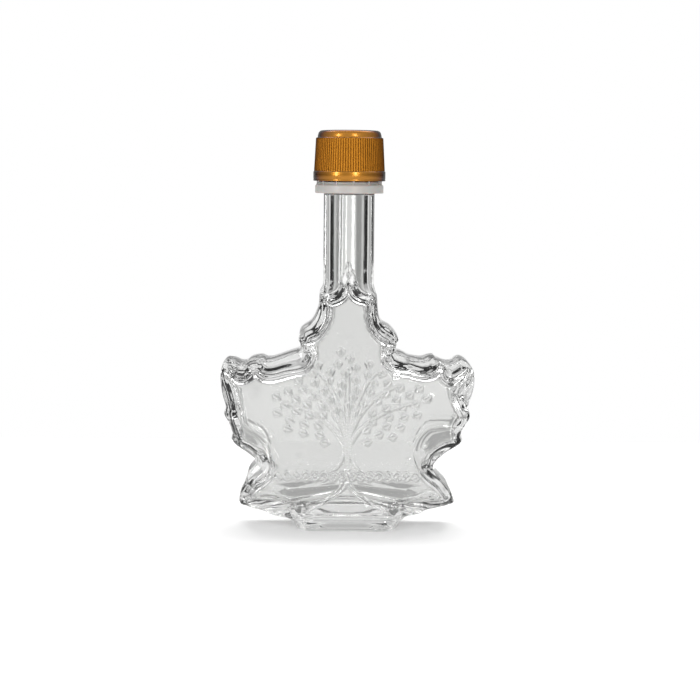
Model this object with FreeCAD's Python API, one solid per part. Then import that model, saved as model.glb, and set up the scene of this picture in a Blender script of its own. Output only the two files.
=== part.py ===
import FreeCAD, Part
import math
import os

# Leaf-shaped glass bottle with a ribbed screw cap and a tamper ring.
# Millimetres, +Z up, the leaf's front faces -Y, the origin is the middle of the base.

# ---- driving dimensions --------------------------------------------------------------
HEIGHT = 186.5          # base to the top of the closed cap
LEAF_HALF_DEPTH = 21.5  # leaf body, centre of the face to the parting plane
FACE_RADIUS = 640.0     # both faces of the leaf are slightly domed
FACE_CENTRE_Z = 66.0    # height of the crown of that dome

NECK_R = 11.9           # outside of the neck
BORE_R = 7.3            # inside of the neck
RING_BOTTOM_Z = 157.0   # lower edge of the tamper ring
RING_TOP_Z = 160.4
RING_R = 16.0
CAP_BOTTOM_Z = 162.7
CAP_WALL = 1.4
CAP_TOP_WALL = 1.5
MOUTH_Z = HEIGHT - CAP_TOP_WALL

FOOT_HALF_DEPTH = 20.5
FOOT_HALF_WIDTH = 27.0
FOOT_TOP_Z = 7.6

# The leaf's half outline on the parting plane, from the neck down to the foot.
# Each corner holds x, z, the corner's radius, and how far it moves in towards the
# leaf by the time the side wall reaches the edge of the face.
LEAF_CORNERS = {
    "arch bend": (9.0, 113.5, 3.0, 7.0),
    "neck tooth": (13.7, 111.0, 1.0, 5.4),
    "shoulder": (14.6, 98.6, 8.0, 7.0),
    "shoulder tooth": (23.8, 93.0, 1.6, 4.6),
    "armpit": (22.2, 84.2, 1.8, 7.6),
    "first dip": (36.6, 79.2, 4.0, 5.8),
    "crest": (42.8, 80.9, 2.5, 5.0),
    "second dip": (48.2, 77.6, 2.5, 5.6),
    "upper tip": (55.2, 80.6, 2.2, 5.0),
    "upper corner": (59.2, 77.0, 2.4, 4.2),
    "side": (59.9, 67.0, 9.0, 5.6),
    "side dip": (56.5, 56.9, 2.5, 4.2),
    "side tooth": (58.2, 53.6, 1.0, 5.6),
    "elbow dip": (53.3, 46.2, 3.0, 3.6),
    "elbow tooth": (54.5, 41.0, 1.0, 5.2),
    "notch": (41.8, 31.2, 2.2, 7.4),
    "lower bend": (45.6, 27.0, 4.0, 7.4),
    "lower flank": (50.4, 17.2, 4.0, 6.2),
    "lower tip": (51.0, 11.4, 1.6, 6.0),
    "heel": (37.2, 8.0, 2.0, 9.0),
    "heel tooth": (34.6, 5.0, 1.0, 9.6),
    "heel end": (26.0, 4.2, 1.5, 9.0),
}
APEX_Z = 124.0          # top of the pointed arch, inside the neck on the parting plane
APEX_DROP = 7.2         # how far the arch comes down on the face
# The mould's right half departs a little from the mirror of the left half.
RIGHT_SHIFTS = {
    "shoulder": (0.2, -1.4),
    "shoulder tooth": (0.3, -2.4),
    "armpit": (0.0, -1.6),
    "first dip": (-3.0, 0.0),
    "crest": (-3.0, 1.0),
    "second dip": (-1.0, 0.2),
    "upper tip": (-2.2, 0.6),
    "notch": (-1.4, -2.0),
    "lower bend": (-0.6, -1.6),
}
# The side wall's profile: distance from the parting plane, share of the inset.
WALL_PROFILE = ((0.0, 0.0), (11.0, 0.22), (16.8, 0.64), (19.8, 1.0), (22.5, 1.08))

# The blown inside is smoother than the mould: x, z and corner radius of its half outline.
CAVITY_CORNERS = (
    (7.0, 116.0, 4.0),
    (10.2, 97.5, 9.0),
    (18.6, 89.0, 3.0),
    (17.8, 79.8, 5.0),
    (36.5, 74.4, 6.0),
    (42.8, 76.2, 4.0),
    (48.4, 73.2, 4.0),
    (55.4, 76.4, 3.0),
    (55.6, 67.0, 9.0),
    (52.4, 56.0, 6.0),
    (50.6, 43.2, 3.0),
    (36.6, 31.4, 5.0),
    (41.0, 25.0, 6.0),
    (46.6, 16.6, 3.0),
    (38.0, 13.2, 4.0),
    (16.0, 9.5, 6.0),
)
CAVITY_PROFILE = ((0.0, 0.0), (11.0, 1.0), (15.6, 2.4), (18.0, 4.8))

# The stem on each face widens downwards into the foot.
STEM_APEX_Z = 23.4
STEM_FOOT_HALF = 18.6
STEM_FOOT_Z = 9.0
COVE_R = 13.0           # hollow sweep across the lower edge of each face
COVE_Z = 12.0
COVE_DEPTH = 2.6

# Raised figure on the front face: a spreading tree over a leafy vine
RELIEF = 0.55           # height above the domed face
TREE_FOOT_Z = 29.5
TREE_FORK_Z = 40.0
CROWN_Z = 63.0
CROWN_HALF_WIDTH = 37.0
CROWN_HALF_HEIGHT = 23.5
CROWN_SLOPE = 0.58      # the crown's top falls away towards the armpits of the leaf
TRUNK_CLEAR_Z = 54.0    # no leaves beside the trunk below this height
BRANCH_COUNT = 7
BRANCH_SPREAD = 76.0    # degrees either side of upright
TREE_LEAF_COUNT = 64
TREE_LEAF = 4.4         # length of one leaf
GOLDEN_ANGLE = math.radians(137.508)
VINE_Z = 25.8
VINE_HALF_LENGTH = 34.0
VINE_WAVES = 7
VINE_SWING = 1.3
VINE_WIDTH = 0.9

# Cap
CAP_TOP_R = 14.9
CAP_RIB_TOP_R = 15.9
CAP_RIB_BOTTOM_R = 16.8
CAP_RIB_TOP_Z = 182.6
CAP_RIB_BOTTOM_Z = 167.3
RIB_COUNT = 84
RIB_DEPTH = 0.55
BAND_R = 16.9

# Finish of the mouth, under the cap
FINISH_R = 13.2
BEAD_R = 14.3
THREAD_R = 14.2
THREAD_PITCH = 4.2
THREAD_TURNS = 1.5
THREAD_START_Z = 168.5

BRIDGE_COUNT = 12


def arc_corner(before, corner, after, radius):
    """The two ends and the middle of the arc that rounds one corner."""
    into = before - corner
    out = after - corner
    half = into.getAngle(out) / 2.0
    reach = min(radius / math.tan(half), 0.45 * into.Length, 0.45 * out.Length)
    true_radius = reach * math.tan(half)
    into.normalize()
    out.normalize()
    bisector = (into + out).normalize()
    middle = corner + bisector * (true_radius / math.sin(half) - true_radius)
    return corner + into * reach, middle, corner + out * reach


def rounded_wire(corners, y):
    """A closed wire on the plane y through corners (x, z, radius), each one rounded."""
    places = [FreeCAD.Vector(x, y, z) for x, z, _ in corners]
    count = len(places)
    arcs = []
    for i, (_, _, radius) in enumerate(corners):
        arcs.append(arc_corner(places[i - 1], places[i], places[(i + 1) % count], radius))
    edges = []
    for i, (start, middle, end) in enumerate(arcs):
        edges.append(Part.Arc(start, middle, end).toShape())
        edges.append(Part.makeLine(end, arcs[(i + 1) % count][0]))
    return Part.Wire(edges)


def moved_in(corners, distances):
    """Corners moved along their bisectors into the outline, each by its own distance."""
    moved = []
    count = len(corners)
    for i, (x, z, radius) in enumerate(corners):
        before = corners[i - 1]
        after = corners[(i + 1) % count]
        into = FreeCAD.Vector(x - before[0], 0, z - before[1]).normalize()
        out = FreeCAD.Vector(after[0] - x, 0, after[1] - z).normalize()
        normal = FreeCAD.Vector(into.z + out.z, 0, -into.x - out.x).normalize()
        moved.append((x + normal.x * distances[i], z + normal.z * distances[i], radius))
    return moved


def leaf_outline():
    """The whole outline, clockwise seen from the front, and each corner's inset."""
    left = []
    right = []
    for name, (x, z, radius, inset) in LEAF_CORNERS.items():
        dx, dz = RIGHT_SHIFTS.get(name, (0.0, 0.0))
        left.append(((-x, z, radius), inset))
        right.append(((x + dx, z + dz, radius), inset))
    apex = ((0.0, APEX_Z, 0.8), APEX_DROP)
    ring = [apex] + right + left[::-1]
    return [corner for corner, _ in ring], [inset for _, inset in ring]


def loft_both_ways(corners, insets, profile):
    """A ruled loft from the back face through the parting plane to the front face."""
    wires = []
    for depth, share in reversed(profile):
        wires.append(rounded_wire(moved_in(corners, [share * i for i in insets]), depth))
    for depth, share in profile[1:]:
        wires.append(rounded_wire(moved_in(corners, [share * i for i in insets]), -depth))
    return Part.makeLoft(wires, True, True)


def turned(profile):
    """A solid of revolution about Z from (radius, z) points of a closed half profile."""
    points = [FreeCAD.Vector(r, 0, z) for r, z in profile]
    face = Part.Face(Part.makePolygon(points + points[:1]))
    return face.revolve(FreeCAD.Vector(0, 0, 0), FreeCAD.Vector(0, 0, 1), 360)


def dome(raised=0.0):
    """The lens between the two domed faces, or between the same faces raised a little."""
    centre_y = FACE_RADIUS - LEAF_HALF_DEPTH - raised
    front = Part.makeSphere(FACE_RADIUS, FreeCAD.Vector(0, centre_y, FACE_CENTRE_Z))
    back = Part.makeSphere(FACE_RADIUS, FreeCAD.Vector(0, -centre_y, FACE_CENTRE_Z))
    return front.common(back)


def coves():
    """The hollow sweeps that thin the lower edge of both faces."""
    cutters = []
    for side in (-1, 1):
        middle_y = side * (LEAF_HALF_DEPTH - COVE_DEPTH + COVE_R)
        start = FreeCAD.Vector(-70, middle_y, COVE_Z)
        cutters.append(Part.makeCylinder(COVE_R, 140, start, FreeCAD.Vector(1, 0, 0)))
    return cutters


def stem():
    """The pointed stem that stands a little proud of both faces."""
    corners = (
        (0.0, STEM_APEX_Z, 0.8),
        (STEM_FOOT_HALF, STEM_FOOT_Z, 4.0),
        (STEM_FOOT_HALF, 2.0, 0.5),
        (-STEM_FOOT_HALF, 2.0, 0.5),
        (-STEM_FOOT_HALF, STEM_FOOT_Z, 4.0),
    )
    wires = []
    for depth, shift in ((FOOT_HALF_DEPTH, 0.0), (FOOT_HALF_DEPTH - 3.0, -1.2)):
        wires.append(rounded_wire(moved_in(corners, [shift] * len(corners)), -depth))
    for depth, shift in ((FOOT_HALF_DEPTH - 3.0, -1.2), (FOOT_HALF_DEPTH, 0.0)):
        wires.append(rounded_wire(moved_in(corners, [shift] * len(corners)), depth))
    return Part.makeLoft(wires, True, True)


def plate(points):
    """A flat figure of (x, z) points, as a plate that reaches through the front face."""
    places = [FreeCAD.Vector(x, -LEAF_HALF_DEPTH - 2.0, z) for x, z in points]
    return Part.Face(Part.makePolygon(places + places[:1])).extrude(FreeCAD.Vector(0, 4.5, 0))


def branch(start, bend, tip, start_width, tip_width, steps=6):
    """One tapering branch along a curve from start to tip, drawn towards bend."""
    left = []
    right = []
    for i in range(steps + 1):
        t = i / steps
        place = [(1 - t) ** 2 * a + 2 * t * (1 - t) * b + t * t * c for a, b, c in zip(start, bend, tip)]
        slope = [(1 - t) * (b - a) + t * (c - b) for a, b, c in zip(start, bend, tip)]
        length = math.hypot(slope[0], slope[1])
        half = (start_width * (1 - t) + tip_width * t) / 2.0
        across = (-slope[1] / length * half, slope[0] / length * half)
        left.append((place[0] + across[0], place[1] + across[1]))
        right.append((place[0] - across[0], place[1] - across[1]))
    return plate(left + right[::-1])


def kite(x, z, angle, length):
    """One pointed leaf centred on (x, z), its tip turned to the angle."""
    points = []
    for along, across in ((0.5, 0.0), (0.06, 0.42), (-0.5, 0.0), (0.06, -0.42)):
        dx = (along * math.cos(angle) - across * math.sin(angle)) * length
        dz = (along * math.sin(angle) + across * math.cos(angle)) * length
        points.append((x + dx, z + dz))
    return plate(points)


def tree():
    """The trunk, its fan of branches and the leaves of its crown."""
    top_z = CROWN_Z + CROWN_HALF_HEIGHT
    pieces = [branch((0.4, TREE_FOOT_Z), (-0.6, TREE_FORK_Z), (0.6, top_z - 14.0), 4.2, 0.8)]
    for i in range(BRANCH_COUNT):
        share = 2.0 * i / (BRANCH_COUNT - 1) - 1.0
        angle = math.radians(BRANCH_SPREAD * share)
        tip = (
            CROWN_HALF_WIDTH * 0.84 * math.sin(angle),
            CROWN_Z - 8.0 + CROWN_HALF_HEIGHT * 0.9 * math.cos(angle),
        )
        start = (0.8 * share, TREE_FORK_Z + 3.0 * (i % 2))
        bend = (tip[0] * 0.25, start[1] + (tip[1] - start[1]) * 0.75)
        pieces.append(branch(start, bend, tip, 2.0, 0.7))
    for i in range(TREE_LEAF_COUNT):
        reach = math.sqrt((i + 0.5) / TREE_LEAF_COUNT)
        x = CROWN_HALF_WIDTH * reach * math.cos(i * GOLDEN_ANGLE)
        z = CROWN_Z + CROWN_HALF_HEIGHT * reach * math.sin(i * GOLDEN_ANGLE)
        if z < top_z - CROWN_SLOPE * abs(x) and (abs(x) > 7.0 or z > TRUNK_CLEAR_Z):
            pieces.append(kite(x, z, math.atan2(z - TREE_FORK_Z, x), TREE_LEAF))
    return pieces


def vine():
    """The wavy vine under the tree, with a leaf on each bend."""
    pieces = []
    step = VINE_HALF_LENGTH / VINE_WAVES
    for i in range(2 * VINE_WAVES):
        x = -VINE_HALF_LENGTH + i * step
        up = 1.0 if i % 2 else -1.0
        bend = (x + step / 2.0, VINE_Z + 2.0 * up * VINE_SWING)
        pieces.append(branch((x, VINE_Z), bend, (x + step, VINE_Z), VINE_WIDTH, VINE_WIDTH, 4))
        pieces.append(kite(x + step / 2.0, VINE_Z - 1.4 * up, -up * math.radians(60.0), 3.0))
    return pieces


def relief():
    """The raised figure, its top following the domed face."""
    lens = dome(RELIEF)
    return [piece.common(lens) for piece in tree() + vine()]


def foot_wire(half_width, half_depth, z):
    """The foot's plan: straight front and back, bowed ends, cut corners."""
    corner_x = half_width - 3.4
    corner_y = half_depth * 0.72
    points = [
        (-corner_x, -half_depth),
        (corner_x, -half_depth),
        (half_width - 0.8, -corner_y),
        (half_width, 0),
        (half_width - 0.8, corner_y),
        (corner_x, half_depth),
        (-corner_x, half_depth),
        (-half_width + 0.8, corner_y),
        (-half_width, 0),
        (-half_width + 0.8, -corner_y),
    ]
    places = [FreeCAD.Vector(x, y, z) for x, y in points]
    edges = [
        Part.makeLine(places[0], places[1]),
        Part.makeLine(places[1], places[2]),
        Part.Arc(places[2], places[3], places[4]).toShape(),
        Part.makeLine(places[4], places[5]),
        Part.makeLine(places[5], places[6]),
        Part.makeLine(places[6], places[7]),
        Part.Arc(places[7], places[8], places[9]).toShape(),
        Part.makeLine(places[9], places[0]),
    ]
    return Part.Wire(edges)


def foot():
    """The plinth under the leaf, with a rounded lower edge."""
    wires = []
    for height, inset in ((0.0, 2.0), (1.2, 0.7), (3.6, 0.0), (FOOT_TOP_Z, 0.4)):
        wires.append(foot_wire(FOOT_HALF_WIDTH - inset, FOOT_HALF_DEPTH - inset, height))
    return Part.makeLoft(wires, True, True)


def thread():
    """One raised turn and a half round the finish."""
    height = THREAD_PITCH * THREAD_TURNS
    helix = Part.makeHelix(THREAD_PITCH, height, FINISH_R - 0.3)
    helix.translate(FreeCAD.Vector(0, 0, THREAD_START_Z))
    inner = FINISH_R - 0.3
    section = [(inner, -1.2), (THREAD_R, -0.4), (THREAD_R, 0.4), (inner, 1.2)]
    points = [FreeCAD.Vector(r, 0, THREAD_START_Z + z) for r, z in section]
    profile = Part.makePolygon(points + points[:1])
    return Part.Wire(helix).makePipeShell([profile], True, True)


def neck():
    """Neck and finish, turned: a plain tube, a flare and a bead under the ring."""
    flare_z = RING_BOTTOM_Z + 0.6
    profile = (
        (0.0, 100.0),
        (NECK_R, 100.0),
        (NECK_R, flare_z),
        (FINISH_R, flare_z + 2.2),
        (FINISH_R, 161.0),
        (BEAD_R, 161.6),
        (BEAD_R, 163.0),
        (FINISH_R, 164.0),
        (FINISH_R, MOUTH_Z - 0.8),
        (FINISH_R - 0.8, MOUTH_Z),
        (0.0, MOUTH_Z),
    )
    return turned(profile)


def cavity():
    """The space inside: the leaf-shaped room and the bore through the neck."""
    right = [(x, z, r) for x, z, r in CAVITY_CORNERS]
    left = [(-x, z, r) for x, z, r in CAVITY_CORNERS]
    corners = right + left[::-1]
    room = loft_both_ways(corners, [1.0] * len(corners), CAVITY_PROFILE)
    profile = (
        (0.0, 96.0),
        (BORE_R + 1.2, 96.0),
        (BORE_R + 1.2, 108.0),
        (BORE_R, 120.0),
        (BORE_R, MOUTH_Z - 1.0),
        (BORE_R + 1.0, MOUTH_Z + 1.0),
        (0.0, MOUTH_Z + 1.0),
    )
    return room.fuse(turned(profile))


def bottle():
    """The whole bottle: one piece of glass."""
    corners, insets = leaf_outline()
    leaf = loft_both_ways(corners, insets, WALL_PROFILE).common(dome())
    leaf = leaf.cut(coves())
    glass = leaf.fuse([neck(), stem(), foot(), thread()] + relief())
    return glass.cut(cavity())


def cap_body():
    """The cap before its ribs: a hollow shell with a domed top and a lower band."""
    profile = (
        (CAP_TOP_R - 3.5, HEIGHT - 0.02),
        (CAP_TOP_R - 1.2, HEIGHT - 0.5),
        (CAP_TOP_R, HEIGHT - 1.9),
        (CAP_TOP_R + 0.1, HEIGHT - 3.4),
        (CAP_RIB_TOP_R, CAP_RIB_TOP_Z - 0.6),
        (CAP_RIB_BOTTOM_R, CAP_RIB_BOTTOM_Z),
        (BAND_R, CAP_RIB_BOTTOM_Z - 0.6),
        (BAND_R, CAP_BOTTOM_Z),
        (BAND_R - CAP_WALL, CAP_BOTTOM_Z),
        (CAP_TOP_R - 0.3, HEIGHT - 4.0),
        (CAP_TOP_R - 1.2, MOUTH_Z),
        (0.0, MOUTH_Z),
        (0.0, HEIGHT),
    )
    return turned(profile)


def rib_grooves():
    """The V-shaped grooves between the ribs, which fade out above the band."""
    grooves = []
    half = math.pi / RIB_COUNT * 0.42
    top_z = CAP_RIB_TOP_Z + 0.8
    for i in range(RIB_COUNT):
        turn = 2 * math.pi * i / RIB_COUNT
        points = []
        for radius, z in ((CAP_RIB_TOP_R, top_z), (CAP_RIB_BOTTOM_R, CAP_RIB_BOTTOM_Z)):
            for angle, out in ((turn - half, 0.6), (turn, -RIB_DEPTH), (turn + half, 0.6)):
                r = radius + out
                points.append(FreeCAD.Vector(r * math.cos(angle), r * math.sin(angle), z))
        top = Part.makePolygon(points[:3] + points[:1])
        bottom = Part.makePolygon(points[3:] + points[3:4])
        grooves.append(Part.makeLoft([bottom, top], True, True))
    return grooves


def cap():
    """The ribbed screw cap, seated on the mouth."""
    return cap_body().cut(rib_grooves())


def collar():
    """The tamper ring with the small bridges left between it and the cap."""
    inner = BEAD_R - 0.6
    profile = (
        (inner, RING_BOTTOM_Z),
        (RING_R - 0.3, RING_BOTTOM_Z),
        (RING_R, RING_BOTTOM_Z + 0.4),
        (RING_R, RING_TOP_Z - 1.0),
        (RING_R - 0.7, RING_TOP_Z - 0.3),
        (inner + 0.6, RING_TOP_Z),
        (inner, RING_TOP_Z - 0.4),
    )
    ring = turned(profile)
    bridges = []
    for i in range(BRIDGE_COUNT):
        block = Part.makeBox(1.0, 0.9, CAP_BOTTOM_Z - RING_TOP_Z + 1.0)
        block.translate(FreeCAD.Vector(BEAD_R + 0.3, -0.45, RING_TOP_Z - 1.0))
        block.rotate(FreeCAD.Vector(0, 0, 0), FreeCAD.Vector(0, 0, 1), 360.0 * i / BRIDGE_COUNT + 7)
        bridges.append(block)
    return ring.fuse(bridges)


os.makedirs("parts", exist_ok=True)
for name, shape in (("bottle", bottle()), ("cap", cap()), ("collar", collar())):
    shape.exportStep("parts/" + name + ".step")
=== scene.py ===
"""An empty leaf-shaped glass bottle with a ribbed gold screw cap and a milky tamper ring.

The glass is one closed skin worked out from its half depth over the front plane, the cap and
the ring are turned surfaces with ribs and bridges, and a plain pale studio stands round them.
"""

import logging
import math
from collections.abc import Callable
from dataclasses import dataclass, field
from enum import Enum
from typing import ClassVar

import bpy
import numpy as np
from mathutils import Matrix, Vector
from mathutils.geometry import delaunay_2d_cdt


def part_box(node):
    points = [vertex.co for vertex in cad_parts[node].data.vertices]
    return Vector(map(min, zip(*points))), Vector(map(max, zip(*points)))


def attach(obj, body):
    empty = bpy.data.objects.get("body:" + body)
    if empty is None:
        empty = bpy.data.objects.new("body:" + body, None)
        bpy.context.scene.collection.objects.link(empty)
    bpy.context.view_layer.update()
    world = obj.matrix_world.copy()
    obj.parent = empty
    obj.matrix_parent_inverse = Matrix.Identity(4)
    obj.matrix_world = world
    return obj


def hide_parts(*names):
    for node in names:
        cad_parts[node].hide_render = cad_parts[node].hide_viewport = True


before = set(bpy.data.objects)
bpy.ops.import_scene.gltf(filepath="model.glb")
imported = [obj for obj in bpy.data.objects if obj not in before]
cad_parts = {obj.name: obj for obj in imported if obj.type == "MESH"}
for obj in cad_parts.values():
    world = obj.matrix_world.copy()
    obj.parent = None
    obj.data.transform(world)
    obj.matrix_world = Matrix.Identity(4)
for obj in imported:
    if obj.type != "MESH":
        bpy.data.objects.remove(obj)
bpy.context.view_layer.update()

LOG = logging.getLogger("leaf_bottle")
MM = 0.001
BLOCK = 4000  # points that are measured against a polyline at once
MERGE = 2e-7  # mesh points nearer than this are one, in metres
GOLDEN_ANGLE = math.radians(137.508)

# Gives one value for each row of x and z on the front plane.
PlaneField = Callable[[np.ndarray], np.ndarray]


class Part(Enum):
    """The parts, by their node in the frame."""

    GLASS = "bottle"
    CAP = "cap"
    RING = "collar"


# ---- curves and fields on the front plane ---------------------------------------------


def soft_max(a: np.ndarray, b: np.ndarray, radius: float) -> np.ndarray:
    """The larger of two depths, rounded where they meet.

    The rounding is the quadratic bump radius/4 * h^2 with h = 1 - |a - b| / radius, and it
    fades to nothing where the smaller depth goes to zero, so outlines stay where they are.

    Args:
        a: First depths.
        b: Second depths.
        radius: Size of the rounding, in the depths' unit.

    Returns:
        The rounded maximum.
    """
    small = np.minimum(a, b)
    reach = radius * np.clip(small / (2.0 * radius), 1e-6, 1.0)
    bump = np.clip(1.0 - np.abs(a - b) / reach, 0.0, 1.0)
    return np.maximum(a, b) + reach * bump ** 2 / 4.0


def smooth_step(value: np.ndarray) -> np.ndarray:
    """The cubic 3t^2 - 2t^3 between 0 and 1, flat outside."""
    t = np.clip(value, 0.0, 1.0)
    return t * t * (3.0 - 2.0 * t)


def bell(offset: np.ndarray, width: float | np.ndarray) -> np.ndarray:
    """The bell exp(-(offset / width)^2)."""
    return np.exp(-(offset / width) ** 2)


def arc(share: np.ndarray) -> np.ndarray:
    """The quarter circle sqrt(1 - share^2), and 0 beyond 1."""
    return np.sqrt(np.clip(1.0 - share ** 2, 0.0, 1.0))


def smooth_path(knots: np.ndarray, spacing: float, closed: bool) -> np.ndarray:
    """Points along a smooth curve through knots.

    Each span is the Catmull-Rom cubic of its two ends and the knots beside them, and gets
    its chord's length over the spacing of even steps.

    Args:
        knots: Rows of x and z.
        spacing: Wanted distance between points.
        closed: Whether the last knot joins the first.

    Returns:
        Rows of x and z.
    """
    if closed:
        before, start, end, after = (np.roll(knots, shift, axis=0) for shift in (1, 0, -1, -2))
    else:
        padded = np.vstack((2 * knots[0] - knots[1], knots, 2 * knots[-1] - knots[-2]))
        before, start, end, after = padded[:-3], padded[1:-2], padded[2:-1], padded[3:]
    steps = np.maximum(1, np.round(np.linalg.norm(end - start, axis=1) / spacing)).astype(int)
    span = np.repeat(np.arange(len(steps)), steps)
    step = np.arange(len(span)) - np.repeat(np.cumsum(steps) - steps, steps)
    t = (step / steps[span])[:, None]
    a, b, c, d = before[span], start[span], end[span], after[span]
    points = 0.5 * (
        2.0 * b + (c - a) * t + (2.0 * a - 5.0 * b + 4.0 * c - d) * t ** 2
        + (3.0 * b - a - 3.0 * c + d) * t ** 3
    )
    return points if closed else np.vstack((points, knots[-1:]))


def moved_in(path: np.ndarray, distance: float, hand: int) -> np.ndarray:
    """An open path moved sideways, less where the curve is too tight for it.

    Each point moves along its normal by the distance, or by 0.7 of the first reach at which it
    would come too near another part of the path, and the cuts are evened out along the path.

    Args:
        path: Rows of x and z.
        distance: How far to move.
        hand: -1 or 1, which turns the normal inwards on the left or right side.

    Returns:
        Rows of x and z.
    """
    along = np.gradient(path, axis=0)
    along /= np.maximum(np.linalg.norm(along, axis=1, keepdims=True), 1e-9)
    normal = hand * np.column_stack((along[:, 1], -along[:, 0]))
    room = np.full(len(path), distance)
    for reach in np.linspace(distance * 0.15, distance, 12):
        gap = path_distance(path + normal * reach, path, False)
        room = np.where((gap < 0.985 * reach) & (room > reach * 0.7), reach * 0.7, room)
    window = np.stack([np.roll(room, shift) for shift in range(-5, 6)]).min(0)
    window[:6], window[-6:] = distance, distance
    kernel = np.hanning(9) / np.hanning(9).sum()
    even = np.convolve(np.pad(window, 4, mode="edge"), kernel, mode="valid")
    even[0], even[-1] = distance, distance
    return path + normal * even[:, None]


def path_distance(points: np.ndarray, path: np.ndarray, closed: bool = True) -> np.ndarray:
    """Shortest distance from each point to a polyline.

    Each segment's nearest point is its start plus the projection, held within the segment.

    Args:
        points: Rows of x and z.
        path: Rows of x and z along the polyline.
        closed: Whether the last point joins the first.

    Returns:
        One distance per point.
    """
    start = path if closed else path[:-1]
    along = (np.roll(path, -1, axis=0) if closed else path[1:]) - start
    length_2 = np.maximum((along ** 2).sum(1), 1e-18)
    found = np.empty(len(points))
    for low in range(0, len(points), BLOCK):
        offset = points[low:low + BLOCK, None, :] - start[None]
        t = np.clip((offset * along).sum(2) / length_2, 0.0, 1.0)
        away = offset - t[..., None] * along
        found[low:low + BLOCK] = np.sqrt((away ** 2).sum(2).min(1))
    return found


def inside_path(points: np.ndarray, path: np.ndarray) -> np.ndarray:
    """Whether each point lies inside a closed polyline, by counting crossings to its right.

    Args:
        points: Rows of x and z.
        path: Rows of x and z round the polyline.

    Returns:
        One truth value per point.
    """
    after = np.roll(path, -1, axis=0)
    rise = after[:, 1] - path[:, 1]
    rise = np.where(np.abs(rise) < 1e-15, 1e-15, rise)
    found = np.empty(len(points), dtype=bool)
    for low in range(0, len(points), BLOCK):
        x = points[low:low + BLOCK, 0, None]
        z = points[low:low + BLOCK, 1, None]
        spans = (path[:, 1] > z) != (after[:, 1] > z)
        cross = path[:, 0] + (z - path[:, 1]) * (after[:, 0] - path[:, 0]) / rise
        found[low:low + BLOCK] = ((x < cross) & spans).sum(1) % 2 == 1
    return found


# ---- meshes ----------------------------------------------------------------------------


class Skin:
    """Collects patches of one surface and makes a single closed mesh of them."""

    def __init__(self) -> None:
        """Starts with no patches."""
        self.points: list[np.ndarray] = []
        self.faces: list[np.ndarray] = []
        self.count = 0

    def add_grid(self, rows: np.ndarray, flip: bool = False, around: bool = False) -> None:
        """Adds a grid of points as quads.

        Args:
            rows: Points, shape (m, n, 3).
            flip: Turns the faces over.
            around: Joins the last column to the first.
        """
        m, n = rows.shape[:2]
        index = np.arange(m * n).reshape(m, n)
        right = np.roll(index, -1, axis=1) if around else index[:, 1:]
        left = index if around else index[:, :-1]
        quads = np.stack([left[:-1], right[:-1], right[1:], left[1:]], axis=-1).reshape(-1, 4)
        self.add_faces(rows.reshape(-1, 3), quads, flip)

    def add_faces(self, points: np.ndarray, faces: np.ndarray, flip: bool = False) -> None:
        """Adds points and the faces on them.

        Args:
            points: Rows of x, y and z.
            faces: Rows of point numbers, three or four each.
            flip: Turns the faces over.
        """
        self.points.append(points)
        self.faces.append((faces[:, ::-1] if flip else faces) + self.count)
        self.count += len(points)

    def build(self, name: str) -> bpy.types.Object:
        """Makes the mesh object, with equal points merged and collapsed faces dropped.

        Args:
            name: Name of the piece.

        Returns:
            The new object, linked to the scene and shaded smooth.
        """
        points = np.vstack(self.points)
        keys = np.round(points / MERGE).astype(np.int64)
        _, first, back = np.unique(keys, axis=0, return_index=True, return_inverse=True)
        back = back.reshape(-1)
        polygons = []
        for block in self.faces:
            merged = back[block]
            repeated = merged == np.roll(merged, -1, axis=1)
            for face, same in zip(merged[repeated.any(1)], repeated[repeated.any(1)]):
                kept = face[~same]
                if len(kept) > 2:
                    polygons.append(tuple(int(v) for v in kept))
            polygons.extend(map(tuple, merged[~repeated.any(1)].tolist()))
        mesh = bpy.data.meshes.new(name)
        mesh.from_pydata(points[first].tolist(), [], polygons)
        mesh.validate()
        mesh.shade_smooth()
        piece = bpy.data.objects.new(name, mesh)
        bpy.context.scene.collection.objects.link(piece)
        return piece


def turned(radius: np.ndarray, height: np.ndarray, turn: np.ndarray) -> np.ndarray:
    """Points of a turned surface: radius times cosine and sine of the turn, and the height."""
    return np.stack(np.broadcast_arrays(
        radius * np.cos(turn), radius * np.sin(turn), height), axis=-1)


def open_edges(piece: bpy.types.Object) -> int:
    """Counts the edges of a mesh that don't have exactly two faces.

    Args:
        piece: A mesh object.

    Returns:
        The number of such edges, which is 0 for a closed surface.
    """
    edges = np.empty(len(piece.data.loops), dtype=np.int32)
    piece.data.loops.foreach_get("edge_index", edges)
    return int((np.bincount(edges, minlength=len(piece.data.edges)) != 2).sum())


# ---- finishes --------------------------------------------------------------------------

Colour = tuple[float, float, float]
Value = bpy.types.NodeSocket | float | tuple
WHITE = (1.0, 1.0, 1.0, 1.0)


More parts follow.
